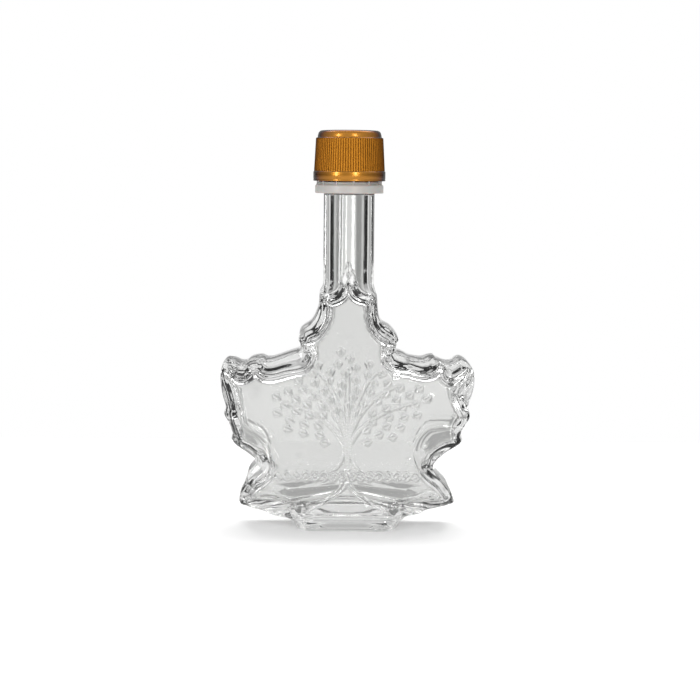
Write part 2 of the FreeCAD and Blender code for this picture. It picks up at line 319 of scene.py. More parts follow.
class Nodes:
    """A short way to lay out shader nodes in a material, world or group."""

    def __init__(self, tree: bpy.types.NodeTree) -> None:
        """Takes the tree to fill."""
        self.tree = tree

    def add(self, kind: str, **settings: object) -> bpy.types.Node:
        """Adds a node of a kind and sets its properties."""
        node = self.tree.nodes.new(kind)
        for name, value in settings.items():
            setattr(node, name, value)
        return node

    def put(self, target: bpy.types.NodeSocket, value: Value) -> None:
        """Joins an output to an input, or sets the input to a plain value.

        Args:
            target: The input.
            value: The output or the plain value.
        """
        if isinstance(value, bpy.types.NodeSocket):
            self.tree.links.new(value, target)
        else:
            target.default_value = value

    def math(self, operation: str, *values: Value) -> bpy.types.NodeSocket:
        """Adds a Math node on some values and gives its output."""
        node = self.add("ShaderNodeMath", operation=operation)
        for target, value in zip(node.inputs, values):
            self.put(target, value)
        return node.outputs[0]

    def mix(self, factor: Value, first: Value, second: Value, **settings: str
            ) -> bpy.types.NodeSocket:
        """Adds a colour Mix node from first to second and gives its output."""
        node = self.add("ShaderNodeMix", data_type="RGBA", **settings)
        for name, value in (("Factor", factor), ("A", first), ("B", second)):
            self.put(node.inputs[name], value)
        return node.outputs["Result"]

    def noise(self, scale: Value, detail: float, place: Value) -> bpy.types.NodeSocket:
        """Adds a noise over a place and gives its grey output."""
        node = self.add("ShaderNodeTexNoise")
        for name, value in (("Scale", scale), ("Detail", detail), ("Vector", place)):
            self.put(node.inputs[name], value)
        return node.outputs["Fac"]

    def place(self, kind: str = "Object") -> bpy.types.NodeSocket:
        """Adds the texture coordinates and gives one of them."""
        return self.add("ShaderNodeTexCoord").outputs[kind]

    def apart(self, vector: bpy.types.NodeSocket) -> tuple[bpy.types.NodeSocket, ...]:
        """Splits a vector and gives its x, y and z."""
        node = self.add("ShaderNodeSeparateXYZ")
        self.put(node.inputs[0], vector)
        return tuple(node.outputs)


def new_group(name: str, inputs: dict[str, str], outputs: dict[str, str]) -> tuple:
    """Starts a node group.

    Args:
        name: The group's name.
        inputs: Names of its inputs and their kinds.
        outputs: Names of its outputs and their kinds.

    Returns:
        The group's nodes, what it is given and what it has to give.
    """
    group = bpy.data.node_groups.new(name, "ShaderNodeTree")
    for in_out, sockets in (("INPUT", inputs), ("OUTPUT", outputs)):
        for label, kind in sockets.items():
            group.interface.new_socket(label, in_out=in_out, socket_type="NodeSocket" + kind)
    nodes = Nodes(group)
    return nodes, nodes.add("NodeGroupInput").outputs, nodes.add("NodeGroupOutput").inputs


def mould_ripple_group() -> bpy.types.NodeTree:
    """A group that gives the slow, faint waviness of a moulded surface.

    A broad noise and a fine one of four times its scale are added and feed a Bump node.

    Returns:
        The group, with inputs Scale and Strength and output Normal.
    """
    nodes, given, wanted = new_group(
        "mould ripple", {"Scale": "Float", "Strength": "Float"}, {"Normal": "Vector"})
    place = nodes.place()
    broad = nodes.noise(given["Scale"], 1.0, place)
    fine = nodes.noise(nodes.math("MULTIPLY", given["Scale"], 4.0), 2.0, place)
    bump = nodes.add("ShaderNodeBump")
    nodes.put(bump.inputs["Distance"], MM)
    nodes.put(bump.inputs["Height"], nodes.math("MULTIPLY_ADD", fine, 0.12, broad))
    nodes.put(bump.inputs["Strength"], given["Strength"])
    nodes.put(wanted["Normal"], bump.outputs["Normal"])
    return nodes.tree


def grain_group() -> bpy.types.NodeTree:
    """A group that gives the fine unevenness of pigment and polish.

    A broad noise and a fine one are multiplied. The first mixes the two colours, and both
    together stand for the polish.

    Returns:
        The group, with inputs Scale, Colour and Other, and outputs Color and Grain.
    """
    nodes, given, wanted = new_group(
        "grain", {"Scale": "Float", "Colour": "Color", "Other": "Color"},
        {"Color": "Color", "Grain": "Float"})
    place = nodes.place()
    broad = nodes.noise(given["Scale"], 3.0, place)
    fine = nodes.noise(nodes.math("MULTIPLY", given["Scale"], 4.0), 2.0, place)
    nodes.put(wanted["Color"], nodes.mix(broad, given["Colour"], given["Other"]))
    nodes.put(wanted["Grain"], nodes.math("MULTIPLY", broad, fine))
    return nodes.tree


@dataclass(frozen=True)
class Effects:
    """The node groups that every finish shares."""

    ripple: bpy.types.NodeTree
    grain: bpy.types.NodeTree


@dataclass(frozen=True)
class Ribbing:
    """Where a turned piece is ribbed, in metres, and how that changes its finish, with painted
    shade in the grooves.
    """

    count: int
    low: float
    high: float
    # Colour of the grooves: painted shade in them.
    groove: Colour
    rougher: float

    def masks(self, nodes: Nodes) -> tuple[bpy.types.NodeSocket, bpy.types.NodeSocket]:
        """Masks for the ribbed part.

        The zone is 1 between the two heights. The groove mask is the zone times
        (1 - |cos(n a / 2)|)^0.8 for n ribs at angle a, which is 1 in the grooves, where shade is
        painted.

        Args:
            nodes: The material's nodes.

        Returns:
            The zone and the groove mask.
        """
        x, y, z = nodes.apart(nodes.place())
        turn = nodes.math("MULTIPLY", nodes.math("ARCTAN2", y, x), self.count / 2.0)
        crest = nodes.math("ABSOLUTE", nodes.math("COSINE", turn))
        groove = nodes.math("POWER", nodes.math("SUBTRACT", 1.0, crest), 0.8)
        zone = nodes.math("MULTIPLY", nodes.math("GREATER_THAN", z, self.low),
                          nodes.math("LESS_THAN", z, self.high))
        return zone, nodes.math("MULTIPLY", groove, zone)


@dataclass(frozen=True)
class Finish:
    """A surface finish on the Principled shader, with grain and the moulding's ripple."""

    name: str
    colour: Colour
    other: Colour
    roughness: float
    rougher: float = 0.0
    metallic: float = 0.0
    transmission: float = 0.0
    coat: float = 0.0
    subsurface: float = 0.0
    grain_scale: float = 60.0
    ripple_scale: float = 60.0
    ripple: float = 0.0
    edge: Colour = (1.0, 1.0, 1.0)
    # Colour that the sides seen aslant turn to: painted shade.
    painted_edge_shade: Colour | None = None
    ribbing: Ribbing | None = None

    def build(self, effects: Effects) -> bpy.types.Material:
        """Makes the material.

        Args:
            effects: The shared node groups.

        Returns:
            The material.
        """
        material = bpy.data.materials.new(self.name)
        material.use_nodes = True
        nodes = Nodes(material.node_tree)
        sockets = material.node_tree.nodes["Principled BSDF"].inputs
        for name, value in (
            ("Roughness", self.roughness), ("Metallic", self.metallic), ("IOR", 1.5),
            ("Transmission Weight", self.transmission), ("Coat Weight", self.coat),
            ("Coat Roughness", 0.12), ("Specular Tint", (*self.edge, 1.0)),
            ("Subsurface Weight", self.subsurface), ("Subsurface Scale", 0.002),
        ):
            sockets[name].default_value = value
        if self.ripple:
            ripple = nodes.add("ShaderNodeGroup", node_tree=effects.ripple)
            ripple.inputs["Scale"].default_value = self.ripple_scale
            ripple.inputs["Strength"].default_value = self.ripple
            nodes.put(sockets["Normal"], ripple.outputs["Normal"])
        pigment = nodes.add("ShaderNodeGroup", node_tree=effects.grain)
        for name, value in (("Scale", self.grain_scale), ("Colour", (*self.colour, 1.0)),
                            ("Other", (*self.other, 1.0))):
            pigment.inputs[name].default_value = value
        colour = pigment.outputs["Color"]
        roughness = self.roughness
        if self.rougher:
            grain = pigment.outputs["Grain"]
            roughness = nodes.math("MULTIPLY_ADD", grain, self.rougher, self.roughness)
        if self.ribbing:
            zone, groove = self.ribbing.masks(nodes)
            roughness = nodes.math("MULTIPLY_ADD", zone, self.ribbing.rougher, roughness)
            bare = nodes.math("MULTIPLY_ADD", zone, -self.coat, self.coat)
            nodes.put(sockets["Coat Weight"], bare)
            # Painted shade: the grooves' darker colour mixed in over the groove mask.
            colour = nodes.mix(groove, colour, (*self.ribbing.groove, 1.0))
        # Painted shade: the colour darkens towards the sides seen aslant.
        if self.painted_edge_shade:
            colour = self.with_painted_edge_shade(nodes, colour)
        nodes.put(sockets["Roughness"], roughness)
        nodes.put(sockets["Base Color"], colour)
        return material

    def with_painted_edge_shade(self, nodes: Nodes, colour: bpy.types.NodeSocket) -> bpy.types.NodeSocket:
        """Paints shade into the colour: darker where the surface is seen aslant, so the sides read
        as shaded.

        Args:
            nodes: The material's nodes.
            colour: The colour seen square on.

        Returns:
            The mixed colour.
        """
        weight = nodes.add("ShaderNodeLayerWeight")
        weight.inputs["Blend"].default_value = 0.5
        slant = nodes.add("ShaderNodeMapRange")
        slant.inputs["From Min"].default_value = 0.1
        slant.inputs["From Max"].default_value = 0.7
        nodes.put(slant.inputs["Value"], weight.outputs["Facing"])
        return nodes.mix(slant.outputs["Result"], colour, (*self.painted_edge_shade, 1.0))


CLEAR_GLASS = Finish(
    "clear glass", (0.90, 0.902, 0.895), (0.885, 0.888, 0.88), 0.0, transmission=1.0,
    ripple_scale=70.0, ripple=0.08,
)
GOLD_PLASTIC = Finish(
    "gold plastic", (0.43, 0.18, 0.020), (0.38, 0.155, 0.016), 0.27, rougher=0.06,
    metallic=0.8, coat=0.35, grain_scale=160.0, edge=(0.10, 0.04, 0.010),
    # The darker colour that the sides seen aslant turn to: painted shade.
    painted_edge_shade=(0.05, 0.018, 0.004),
    # The groove colour is painted shade in the rib grooves.
    ribbing=Ribbing(84, 0.1674, 0.1827, groove=(0.20, 0.065, 0.006), rougher=0.2),
)
MILKY_PLASTIC = Finish(
    "milky plastic", (0.46, 0.44, 0.42), (0.42, 0.40, 0.38), 0.35, rougher=0.15,
    subsurface=0.25, grain_scale=90.0, ripple_scale=200.0, ripple=0.06,
)


class Assembly:
    """A sub-assembly with a mesh of its own, which stands for one part of the frame."""

    part: ClassVar[Part]
    finish: ClassVar[Finish]

    def build(self) -> bpy.types.Object:
        """Makes the mesh. Each sub-assembly has its own way."""
        raise NotImplementedError

    def dress(self, piece: bpy.types.Object, effects: Effects) -> None:
        """Gives the piece its material, slot and body, and puts it in its part's place.

        Args:
            piece: The mesh that build made.
            effects: The shared node groups.
        """
        part = self.part
        piece.data.materials.append(self.finish.build(effects))
        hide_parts(part.value)
        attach(piece, "root")


# ---- the glass -------------------------------------------------------------------------

# Outlines in mm, x then z, from the neck down to the foot, left side and right side apart
# because the leaf is drawn freely. The edge lies on the parting plane, the face begins where
# the side wall has rounded over onto the front, and the room is the hollow's widest reach.
EDGE_LEFT = (
    (-11.9, 115.4), (-12.3, 113.3), (-13.3, 111.6), (-13.6, 109.0), (-13.9, 105.3),
    (-14.8, 102.4), (-16.3, 99.2), (-18.4, 96.6), (-21.1, 94.8), (-22.6, 93.2),
    (-22.8, 91.2), (-23.2, 88.8), (-22.5, 86.8), (-22.2, 85.2), (-23.4, 83.8),
    (-26.6, 82.8), (-30.6, 81.3), (-34.6, 79.9), (-37.8, 79.4), (-40.0, 80.3),
    (-43.0, 80.2), (-45.8, 79.4), (-47.6, 77.9), (-49.8, 77.6), (-52.2, 78.6),
    (-54.6, 79.2), (-56.8, 79.3), (-58.4, 77.6), (-59.3, 74.6), (-59.6, 71.5),
    (-59.3, 67.0), (-58.6, 62.7), (-57.4, 58.8), (-57.1, 56.2), (-58.0, 53.6),
    (-57.4, 51.9), (-55.6, 49.8), (-54.4, 46.6), (-53.9, 43.9), (-54.5, 42.0),
    (-53.6, 40.1), (-50.8, 37.8), (-47.4, 35.6), (-44.4, 33.6), (-42.9, 31.9),
    (-44.2, 30.1), (-46.2, 27.8), (-47.2, 24.8), (-48.2, 21.8), (-49.8, 18.6),
    (-50.6, 14.6), (-50.8, 12.0), (-49.8, 10.4), (-46.6, 9.4), (-42.4, 8.1), (-39.0, 7.2),
    (-36.4, 5.9), (-33.4, 4.7), (-30.4, 4.1), (-27.6, 4.3),
)
EDGE_RIGHT = (
    (11.9, 115.2), (12.2, 113.1), (12.8, 110.9), (13.5, 108.8), (13.8, 105.0),
    (14.2, 101.5), (15.0, 98.6), (16.4, 96.8), (19.0, 95.5), (21.0, 93.7), (22.6, 91.7),
    (23.7, 89.2), (23.0, 87.2), (22.2, 84.7), (23.0, 83.5), (25.8, 82.6), (28.6, 81.0),
    (31.6, 80.3), (35.0, 80.1), (38.0, 81.2), (40.0, 81.4), (41.6, 80.1), (44.2, 78.8),
    (46.8, 78.2), (48.8, 78.7), (51.0, 80.4), (53.0, 80.6), (55.4, 79.5), (57.5, 77.2),
    (59.0, 74.6), (59.4, 70.8), (59.2, 67.0), (58.3, 63.2), (57.0, 59.6), (56.7, 57.0),
    (57.5, 54.4), (56.8, 51.8), (54.6, 48.5), (53.5, 45.9), (53.7, 43.3), (54.2, 41.9),
    (53.0, 40.1), (49.6, 38.0), (45.7, 35.3), (42.4, 32.6), (40.7, 30.3), (41.0, 28.4),
    (42.7, 26.0), (45.2, 23.4), (47.2, 21.4), (48.9, 18.6), (50.0, 15.6), (50.7, 13.2),
    (50.0, 11.8), (46.5, 10.8), (41.5, 9.6), (37.4, 8.4), (34.8, 6.8), (31.2, 5.8),
    (27.6, 4.9),
)
FACE_LEFT = (
    (-0.9, 114.6), (-2.0, 111.5), (-3.6, 109.2), (-5.8, 107.9), (-8.0, 107.2),
    (-8.7, 104.9), (-8.9, 101.0), (-9.5, 98.0), (-10.8, 95.2), (-12.6, 92.8), (-14.8, 90.9),
    (-17.8, 89.4), (-17.6, 87.0), (-16.2, 84.5), (-15.3, 81.5), (-16.4, 78.0),
    (-19.5, 75.3), (-23.5, 74.1), (-29.0, 73.2), (-34.0, 71.8), (-38.2, 71.7),
    (-41.0, 73.3), (-42.6, 74.3), (-44.4, 73.4), (-46.6, 71.3), (-49.7, 70.6),
    (-52.0, 71.3), (-53.8, 72.4), (-54.0, 71.0), (-53.2, 68.0), (-52.0, 64.0),
    (-51.0, 60.0), (-50.0, 56.0), (-49.2, 52.0), (-48.4, 49.4), (-46.3, 47.8),
    (-43.5, 46.6), (-40.6, 44.8), (-38.2, 42.0), (-36.8, 38.5), (-35.9, 34.0),
    (-34.6, 30.5), (-34.9, 27.5), (-36.3, 24.8), (-39.0, 22.6), (-42.2, 20.8),
    (-44.0, 18.6), (-45.6, 16.6), (-46.6, 15.8), (-44.0, 15.6), (-39.5, 15.6),
    (-34.8, 15.2), (-29.5, 14.3), (-24.8, 13.4), (-21.6, 12.0), (-19.6, 10.4), (-18.6, 8.0),
)
FACE_RIGHT = (
    (0.9, 114.6), (2.2, 111.4), (4.0, 109.3), (6.4, 108.3), (8.9, 107.7), (9.6, 105.2),
    (9.9, 101.0), (10.3, 98.5), (11.2, 95.6), (13.0, 92.6), (15.5, 90.3), (18.4, 88.7),
    (18.0, 86.5), (17.0, 84.0), (16.2, 81.0), (17.2, 78.2), (19.6, 75.9), (23.0, 74.6),
    (27.8, 74.2), (33.5, 72.6), (38.2, 72.9), (41.0, 74.4), (42.8, 75.2), (44.0, 74.0),
    (45.4, 71.6), (48.2, 70.6), (51.0, 71.6), (53.6, 73.2), (55.2, 74.2), (54.4, 72.2),
    (52.0, 69.5), (50.0, 66.5), (49.4, 63.5), (50.0, 61.0), (51.0, 58.8), (52.2, 56.0),
    (53.4, 54.2), (53.2, 51.5), (51.4, 49.6), (48.0, 49.0), (43.4, 49.2), (38.6, 48.6),
    (35.8, 46.6), (33.6, 44.0), (32.0, 40.6), (31.5, 37.6), (31.9, 34.2), (33.2, 30.8),
    (34.8, 28.0), (36.6, 25.8), (39.0, 24.0), (41.4, 22.6), (43.2, 20.6), (44.6, 18.4),
    (46.2, 16.6), (44.0, 15.6), (39.6, 15.2), (35.0, 14.8), (30.0, 14.2), (25.0, 13.4),
    (21.6, 12.0), (19.6, 10.4), (18.6, 8.0),
)
ROOM_LEFT = (
    (-7.3, 118.0), (-7.4, 113.5), (-8.4, 110.0), (-9.5, 106.5), (-9.9, 102.5),
    (-10.3, 99.2), (-11.6, 95.6), (-13.2, 92.8), (-15.4, 90.4), (-17.6, 89.1),
    (-19.8, 88.3), (-19.4, 86.2), (-17.9, 83.6), (-17.5, 81.6), (-18.2, 79.2),
    (-19.8, 76.8), (-22.4, 74.7), (-26.8, 73.8), (-31.4, 72.4), (-35.2, 71.5),
    (-38.8, 71.7), (-41.2, 73.4), (-42.8, 74.3), (-44.8, 73.4), (-47.3, 71.1),
    (-49.8, 70.6), (-52.2, 71.2), (-54.6, 73.4), (-56.4, 73.8), (-57.0, 72.3),
    (-56.2, 68.2), (-54.4, 64.0), (-53.2, 60.0), (-52.9, 56.0), (-52.9, 52.5),
    (-51.6, 49.0), (-50.9, 45.0), (-51.0, 42.0), (-49.4, 39.9), (-45.8, 38.2),
    (-42.6, 36.2), (-39.8, 33.8), (-37.4, 31.2), (-36.1, 29.0), (-36.4, 26.4),
    (-38.2, 23.6), (-41.0, 21.4), (-44.2, 19.2), (-45.6, 16.8), (-47.2, 15.2),
    (-48.2, 14.0), (-46.0, 13.0), (-40.0, 12.9), (-34.0, 12.6), (-28.0, 11.6),
    (-22.0, 10.6), (-12.0, 9.8), (0.0, 9.6),
)
ROOM_RIGHT = (
    (7.3, 118.0), (7.5, 113.5), (8.6, 110.0), (10.3, 106.6), (11.0, 103.0), (11.1, 99.6),
    (12.0, 96.2), (13.6, 93.2), (16.0, 90.6), (18.6, 88.8), (20.7, 88.0), (20.0, 85.8),
    (18.8, 83.0), (18.6, 81.0), (19.8, 78.6), (21.6, 76.4), (24.6, 75.1), (28.0, 74.8),
    (31.6, 73.7), (35.0, 73.0), (38.8, 73.2), (41.0, 74.6), (42.8, 75.8), (44.4, 74.4),
    (45.8, 71.8), (48.6, 70.5), (51.6, 71.4), (54.4, 73.4), (56.4, 74.8), (57.2, 74.9),
    (56.8, 73.0), (54.6, 70.2), (52.2, 67.0), (51.2, 63.8), (51.8, 61.4), (52.8, 59.2),
    (54.0, 56.6), (55.4, 54.6), (55.6, 53.0), (54.6, 50.8), (52.8, 48.6), (51.8, 46.4),
    (51.6, 44.6), (52.4, 42.8), (52.2, 41.2), (50.4, 39.9), (46.6, 38.8), (43.4, 37.2),
    (40.4, 35.2), (38.2, 32.6), (37.0, 29.6), (36.4, 27.9), (37.8, 25.6), (40.0, 23.4),
    (42.6, 21.6), (44.4, 19.6), (46.6, 16.8), (48.0, 15.1), (46.0, 13.2), (41.0, 12.4),
    (37.0, 12.2), (32.0, 11.8), (26.0, 11.0), (20.0, 10.4), (12.0, 9.8), (0.0, 9.6),
)
# Scrolled ridges where the lower lobes meet the foot.
SCROLLS = (
    (
        (-39.4, 15.7), (-29.6, 14.9), (-23.1, 13.3), (-19.4, 11.0), (-19.8, 8.8), (-22.6, 8.3),
        (-24.7, 9.7), (-24.5, 11.6),
    ),
    (
        (42.1, 16.4), (33.3, 15.4), (26.8, 13.7), (22.1, 12.0), (20.7, 10.1), (22.4, 8.7),
        (25.0, 9.2), (25.9, 11.4),
    ),
)


@dataclass
class Figure:
    """The low figure raised on the front: a spreading tree over a leafy vine, in mm."""

    height: float = 1.6
    tree_foot_z: float = 29.5
    fork_z: float = 40.0
    crown_z: float = 63.0
    crown_half_width: float = 37.0
    crown_half_height: float = 23.5
    crown_slope: float = 0.58
    trunk_clear_z: float = 54.0
    branch_count: int = 7
    branch_spread: float = 76.0
    leaf_count: int = 92
    trunk_half: tuple[float, float] = (1.6, 0.5)
    root_half: tuple[float, float] = (0.7, 1.3)
    branch_half: tuple[float, float] = (1.45, 0.5)
    crest_groove: float = 0.4
    leaf_length: float = 5.0
    leaf_widest: float = 0.06
    leaf_half_width: float = 0.46
    leaf_bulge: float = 1.15
    leaf_vein: float = 0.35
    vine_leaf_length: float = 2.6
    vine_half_width: float = 0.6
    vine_z: float = 25.8
    vine_half_length: float = 34.0
    vine_waves: int = 8
    vine_swing: float = 2.1

    def strokes(self) -> list[tuple[np.ndarray, np.ndarray]]:
        """The centre lines and half widths of the trunk, branches and vine.

        A branch is the quadratic curve (1-t)^2 A + 2t(1-t) B + t^2 C, and the vine is a sine
        and its mirror image, which make a chain of loops.

        Returns:
            Pairs of points, rows of x and z, and one half width per point.
        """
        top_z = self.crown_z + self.crown_half_height
        t = np.linspace(0.0, 1.0, 16)[:, None]

        def tapered(ends: tuple[float, float]) -> np.ndarray:
            """Half widths that change evenly from the first to the second."""
            return ends[0] + (ends[1] - ends[0]) * t[:, 0]

        def curve(start: np.ndarray, bend: tuple, tip: np.ndarray) -> np.ndarray:
            """The quadratic curve from start to tip."""
            return (1 - t) ** 2 * start + 2 * t * (1 - t) * np.array(bend) + t * t * tip

        trunk = curve(
            np.array((0.4, self.tree_foot_z)),
            (-0.6, self.fork_z),
            np.array((0.6, top_z - 14.0)),
        )
        found = [(trunk, tapered(self.trunk_half))]
        for side in (-1.0, 1.0):
            root = curve(np.array((5.6 * side, self.tree_foot_z - 0.4)),
                         (1.7 * side, self.tree_foot_z + 2.4),
                         np.array((1.5 * side, self.fork_z + 1.0)))
            found.append((root, tapered(self.root_half)))
        for share in np.linspace(-1.0, 1.0, self.branch_count):
            angle = math.radians(self.branch_spread * share)
            step = round((share + 1.0) * (self.branch_count - 1) / 2.0) % 2
            start = np.array((0.8 * share, self.fork_z + 3.0 * step))
            tip = np.array((
                self.crown_half_width * 0.84 * math.sin(angle),
                self.crown_z - 8.0 + self.crown_half_height * 0.9 * math.cos(angle),
            ))
            bend = (tip[0] * 0.25, start[1] + (tip[1] - start[1]) * 0.75)
            found.append((curve(start, bend, tip), tapered(self.branch_half)))
        x = np.linspace(-self.vine_half_length, self.vine_half_length, 16 * self.vine_waves)
        wave = self.vine_swing * np.sin(x / self.vine_half_length * self.vine_waves * math.pi)
        half = np.full(len(x), self.vine_half_width)
        for strand in (wave, -wave):
            found.append((np.column_stack((x, self.vine_z + strand)), half))
        return found

    def leaves(self) -> np.ndarray:
        """The leaves of crown and vine.

        The crown's leaves stand on a golden-angle spiral squeezed into an ellipse, and the
        vine's stand one in each loop.

        Returns:
            Rows of x, z, direction of the tip in radians, and length.
        """
        i = np.arange(self.leaf_count)
        reach = np.sqrt((i + 0.5) / self.leaf_count)
        angle = i * GOLDEN_ANGLE
        x = self.crown_half_width * reach * np.cos(angle)
        z = self.crown_z + self.crown_half_height * reach * np.sin(angle)
        top_z = self.crown_z + self.crown_half_height
        kept = z < top_z - self.crown_slope * np.abs(x)
        kept &= (np.abs(x) > 7.0) | (z > self.trunk_clear_z)
        lean = np.arctan2(z - self.fork_z, x)
        crown = np.column_stack((x, z, lean, np.full_like(x, self.leaf_length)))
        bends = np.arange(2 * self.vine_waves)
        up = np.where(bends % 2 == 0, 1.0, -1.0)
        step = self.vine_half_length / self.vine_waves
        vine = np.column_stack((
            -self.vine_half_length + (bends + 0.5) * step,
            self.vine_z + 0.2 * up,
            up * math.radians(60.0),
            np.full(len(bends), self.vine_leaf_length),
        ))
        return np.vstack((crown[kept], vine))

    def relief(self, points: np.ndarray) -> np.ndarray:
        """Height of the figure above the face.

        A stroke is a round ridge sqrt(1 - (d / w)^2) over its half width w with a groove
        along its crest, and a leaf is a kite-shaped pillow, steep at its edge and veined.

        Args:
            points: Rows of x and z.

        Returns:
            Heights in mm.
        """
        found = np.zeros(len(points))
        low_z = self.vine_z - 2.0 * self.vine_leaf_length
        high_z = self.crown_z + self.crown_half_height + self.leaf_length
        near = np.abs(points[:, 0]) < self.crown_half_width + self.leaf_length
        near &= (points[:, 1] > low_z) & (points[:, 1] < high_z)
        spots = points[near]
        raised = np.zeros(len(spots))
        for line, half in self.strokes():
            for i in range(len(line) - 1):
                along = line[i + 1] - line[i]
                offset = spots - line[i]
                t = np.clip(offset @ along / (along @ along), 0.0, 1.0)
                away = np.hypot(*(offset - t[:, None] * along).T)
                wide = half[i] + (half[i + 1] - half[i]) * t
                ridge = arc(away / wide) * (1.0 - self.crest_groove * bell(away, 0.35 * wide))
                raised = np.maximum(raised, ridge * (0.55 + 0.45 * np.clip(wide, 0.0, 1.0)))
        for x, z, angle, length in self.leaves():
            dx = spots[:, 0] - x
            dz = spots[:, 1] - z
            along = (dx * math.cos(angle) + dz * math.sin(angle)) / length
            across = np.abs(dz * math.cos(angle) - dx * math.sin(angle)) / length
            reach = along - self.leaf_widest
            reach = np.where(reach > 0.0, reach / (0.5 - self.leaf_widest),
                             -reach / (0.5 + self.leaf_widest))
            away = reach ** self.leaf_bulge + (across / self.leaf_half_width) ** self.leaf_bulge
            edge = 1.0 - away ** (1.0 / self.leaf_bulge)
            leaf = smooth_step(edge / 0.3) * (1.0 - self.leaf_vein * bell(across, 0.06))
            raised = np.maximum(raised, leaf)
        found[near] = self.height * raised
        return found


@dataclass
class Glass(Assembly):
    """The bottle's one piece of glass, in mm."""

    part: ClassVar[Part] = Part.GLASS
    finish: ClassVar[Finish] = CLEAR_GLASS

    half_depth: float = 20.3
    face_radius: float = 640.0
    face_centre_z: float = 66.0
    wall: float = 3.5
    room_round: float = 3.6
    room_power: float = 2.2
    neck_r: float = 11.9
    bore_r: float = 7.3
    cut_top_z: float = 126.0
    cut_base_z: float = 3.0
    foot_half_width: float = 25.2
    foot_flare: float = 0.45
    foot_half_depth: float = 20.9
    foot_top_z: float = 7.4
    foot_groove: float = 0.4
    foot_groove_z: float = 5.2
    heel_from: float = 0.92
    push_up: float = 0.9
    push_up_within: float = 0.8
    apex_z: float = 125.2
    apex_face_z: float = 117.8
    arch_end_z: float = 109.2
    shoulder_z: float = 100.0
    neck_start_z: float = 96.0
    stem_apex_z: float = 22.8
    stem_foot_half: float = 18.8
    stem_foot_z: float = 8.5
    stem_ridge: float = 1.0
    creases: tuple = ((3.4, 0.10, 0.9), (6.4, 0.13, 0.8), (9.0, 0.15, 0.6))
    dimples: tuple = ((-44.0, 65.5, 2.6, 0.5), (-22.0, 34.6, 2.2, 0.4), (28.5, 33.4, 1.6, 0.35))
    ramp_top_z: float = 13.9
    fold_slope: float = 0.13
    cove_depth: float = 4.2
    cove_reach: float = 11.0
    crease_width: float = 0.6
    ridge_width: float = 0.45
    ridges: tuple = ((0.3, 1.0), (2.2, 0.7))
    upright: float = 0.76
    upright_width: float = 0.09
    bevel_power: float = 1.35
    wall_ripple: float = 0.2
    rim: float = 0.4
    rim_width: float = 0.6
    scroll: float = 0.7
    scroll_width: float = 0.75
    band_width: float = 1.1
    band_steps: int = 9
    front_spacings: tuple = (0.4, 0.62, 1.6)
    back_spacings: tuple = (0.85, 2.0)
    room_spacings: tuple = (0.6, 0.9, 2.4)
    figure: Figure = field(default_factory=Figure)

    def band_shares(self) -> np.ndarray:
        """Shares of the way across the band: t^2, so steps in depth stay even."""
        return np.linspace(0.0, 1.0, self.band_steps + 1) ** 2

    def leaf_rings(self, paths: dict) -> tuple[np.ndarray, np.ndarray]:
        """The leaf's own closed outline on the parting plane and on the face.

        Args:
            paths: The outer skin's paths, which the outline keeps to below the arch.

        Returns:
            Two closed polylines, rows of x and z.
        """
        top = ((11.4, 110.4), (8.2, 110.5), (5.3, 112.6), (3.4, 116.3), (1.7, 120.8))
        top += ((0.0, self.apex_z),) + tuple((-x, z) for x, z in top[::-1])
        arch = smooth_path(np.array(top), 0.7, False)
        sides = []
        for side in (-1, 1):
            path = paths[side][0]
            sides.append(path[path[:, 1] < self.arch_end_z])
        edge = np.vstack((arch[::-1], sides[1], sides[0][::-1]))
        foot = ((18.6, 5.0), (0.0, 5.0), (-18.6, 5.0))
        face = ((0.0, self.apex_face_z),) + FACE_RIGHT + foot + FACE_LEFT[::-1]
        return edge, smooth_path(np.array(face), 0.7, True)

    @staticmethod
    def room_ring(paths: dict) -> np.ndarray:
        """The hollow's closed outline on the parting plane, running up the bore."""
        return np.vstack((paths[1][0][:-1], paths[-1][0][::-1]))

    @staticmethod
    def wall_share(points: np.ndarray, rings: tuple[np.ndarray, np.ndarray]) -> np.ndarray:
        """How far in each point is: 0 on the outline, 1 on the face.

        Between the two rings it is dM / (dM + dF), from the distances to both.

        Args:
            points: Rows of x and z.
            rings: The outline and the ring where the face begins.

        Returns:
            Shares from 0 to 1.
        """
        middle, face = rings
        to_middle = path_distance(points, middle)
        to_face = path_distance(points, face)
        share = to_middle / np.maximum(to_middle + to_face, 1e-12)
        share = np.where(inside_path(points, face), 1.0, share)
        return np.where(inside_path(points, middle) | (to_middle < 1e-7), share, 0.0)

    def wall_rise(self, share: np.ndarray) -> np.ndarray:
        """The side wall's profile: upright, then a bevel with two soft steps along it."""
        upright = arc(1.0 - np.clip(share / self.upright_width, 0.0, 1.0))
        bevel = 1.0 - (1.0 - share) ** self.bevel_power
        base = self.upright * upright + (1.0 - self.upright) * bevel
        window = np.clip(share / 0.2, 0.0, 1.0) * np.clip((1.0 - share) / 0.2, 0.0, 1.0)
        return base + self.wall_ripple / self.half_depth * window * np.sin(share * 4.0 * math.pi)

    def dome(self, points: np.ndarray) -> np.ndarray:
        """Half depth of the domed face: it falls as the square of the distance from its crown."""
        away = points[:, 0] ** 2 + (points[:, 1] - self.face_centre_z) ** 2
        return self.half_depth - away / (2.0 * self.face_radius)

    def stem_width(self, z: np.ndarray) -> np.ndarray:
        """Half width of the stem: the power 1.7 of the distance below its apex."""
        below = (self.stem_apex_z - z) / (self.stem_apex_z - self.stem_foot_z)
        return self.stem_foot_half * np.clip(below, 0.0, 1.5) ** 1.7

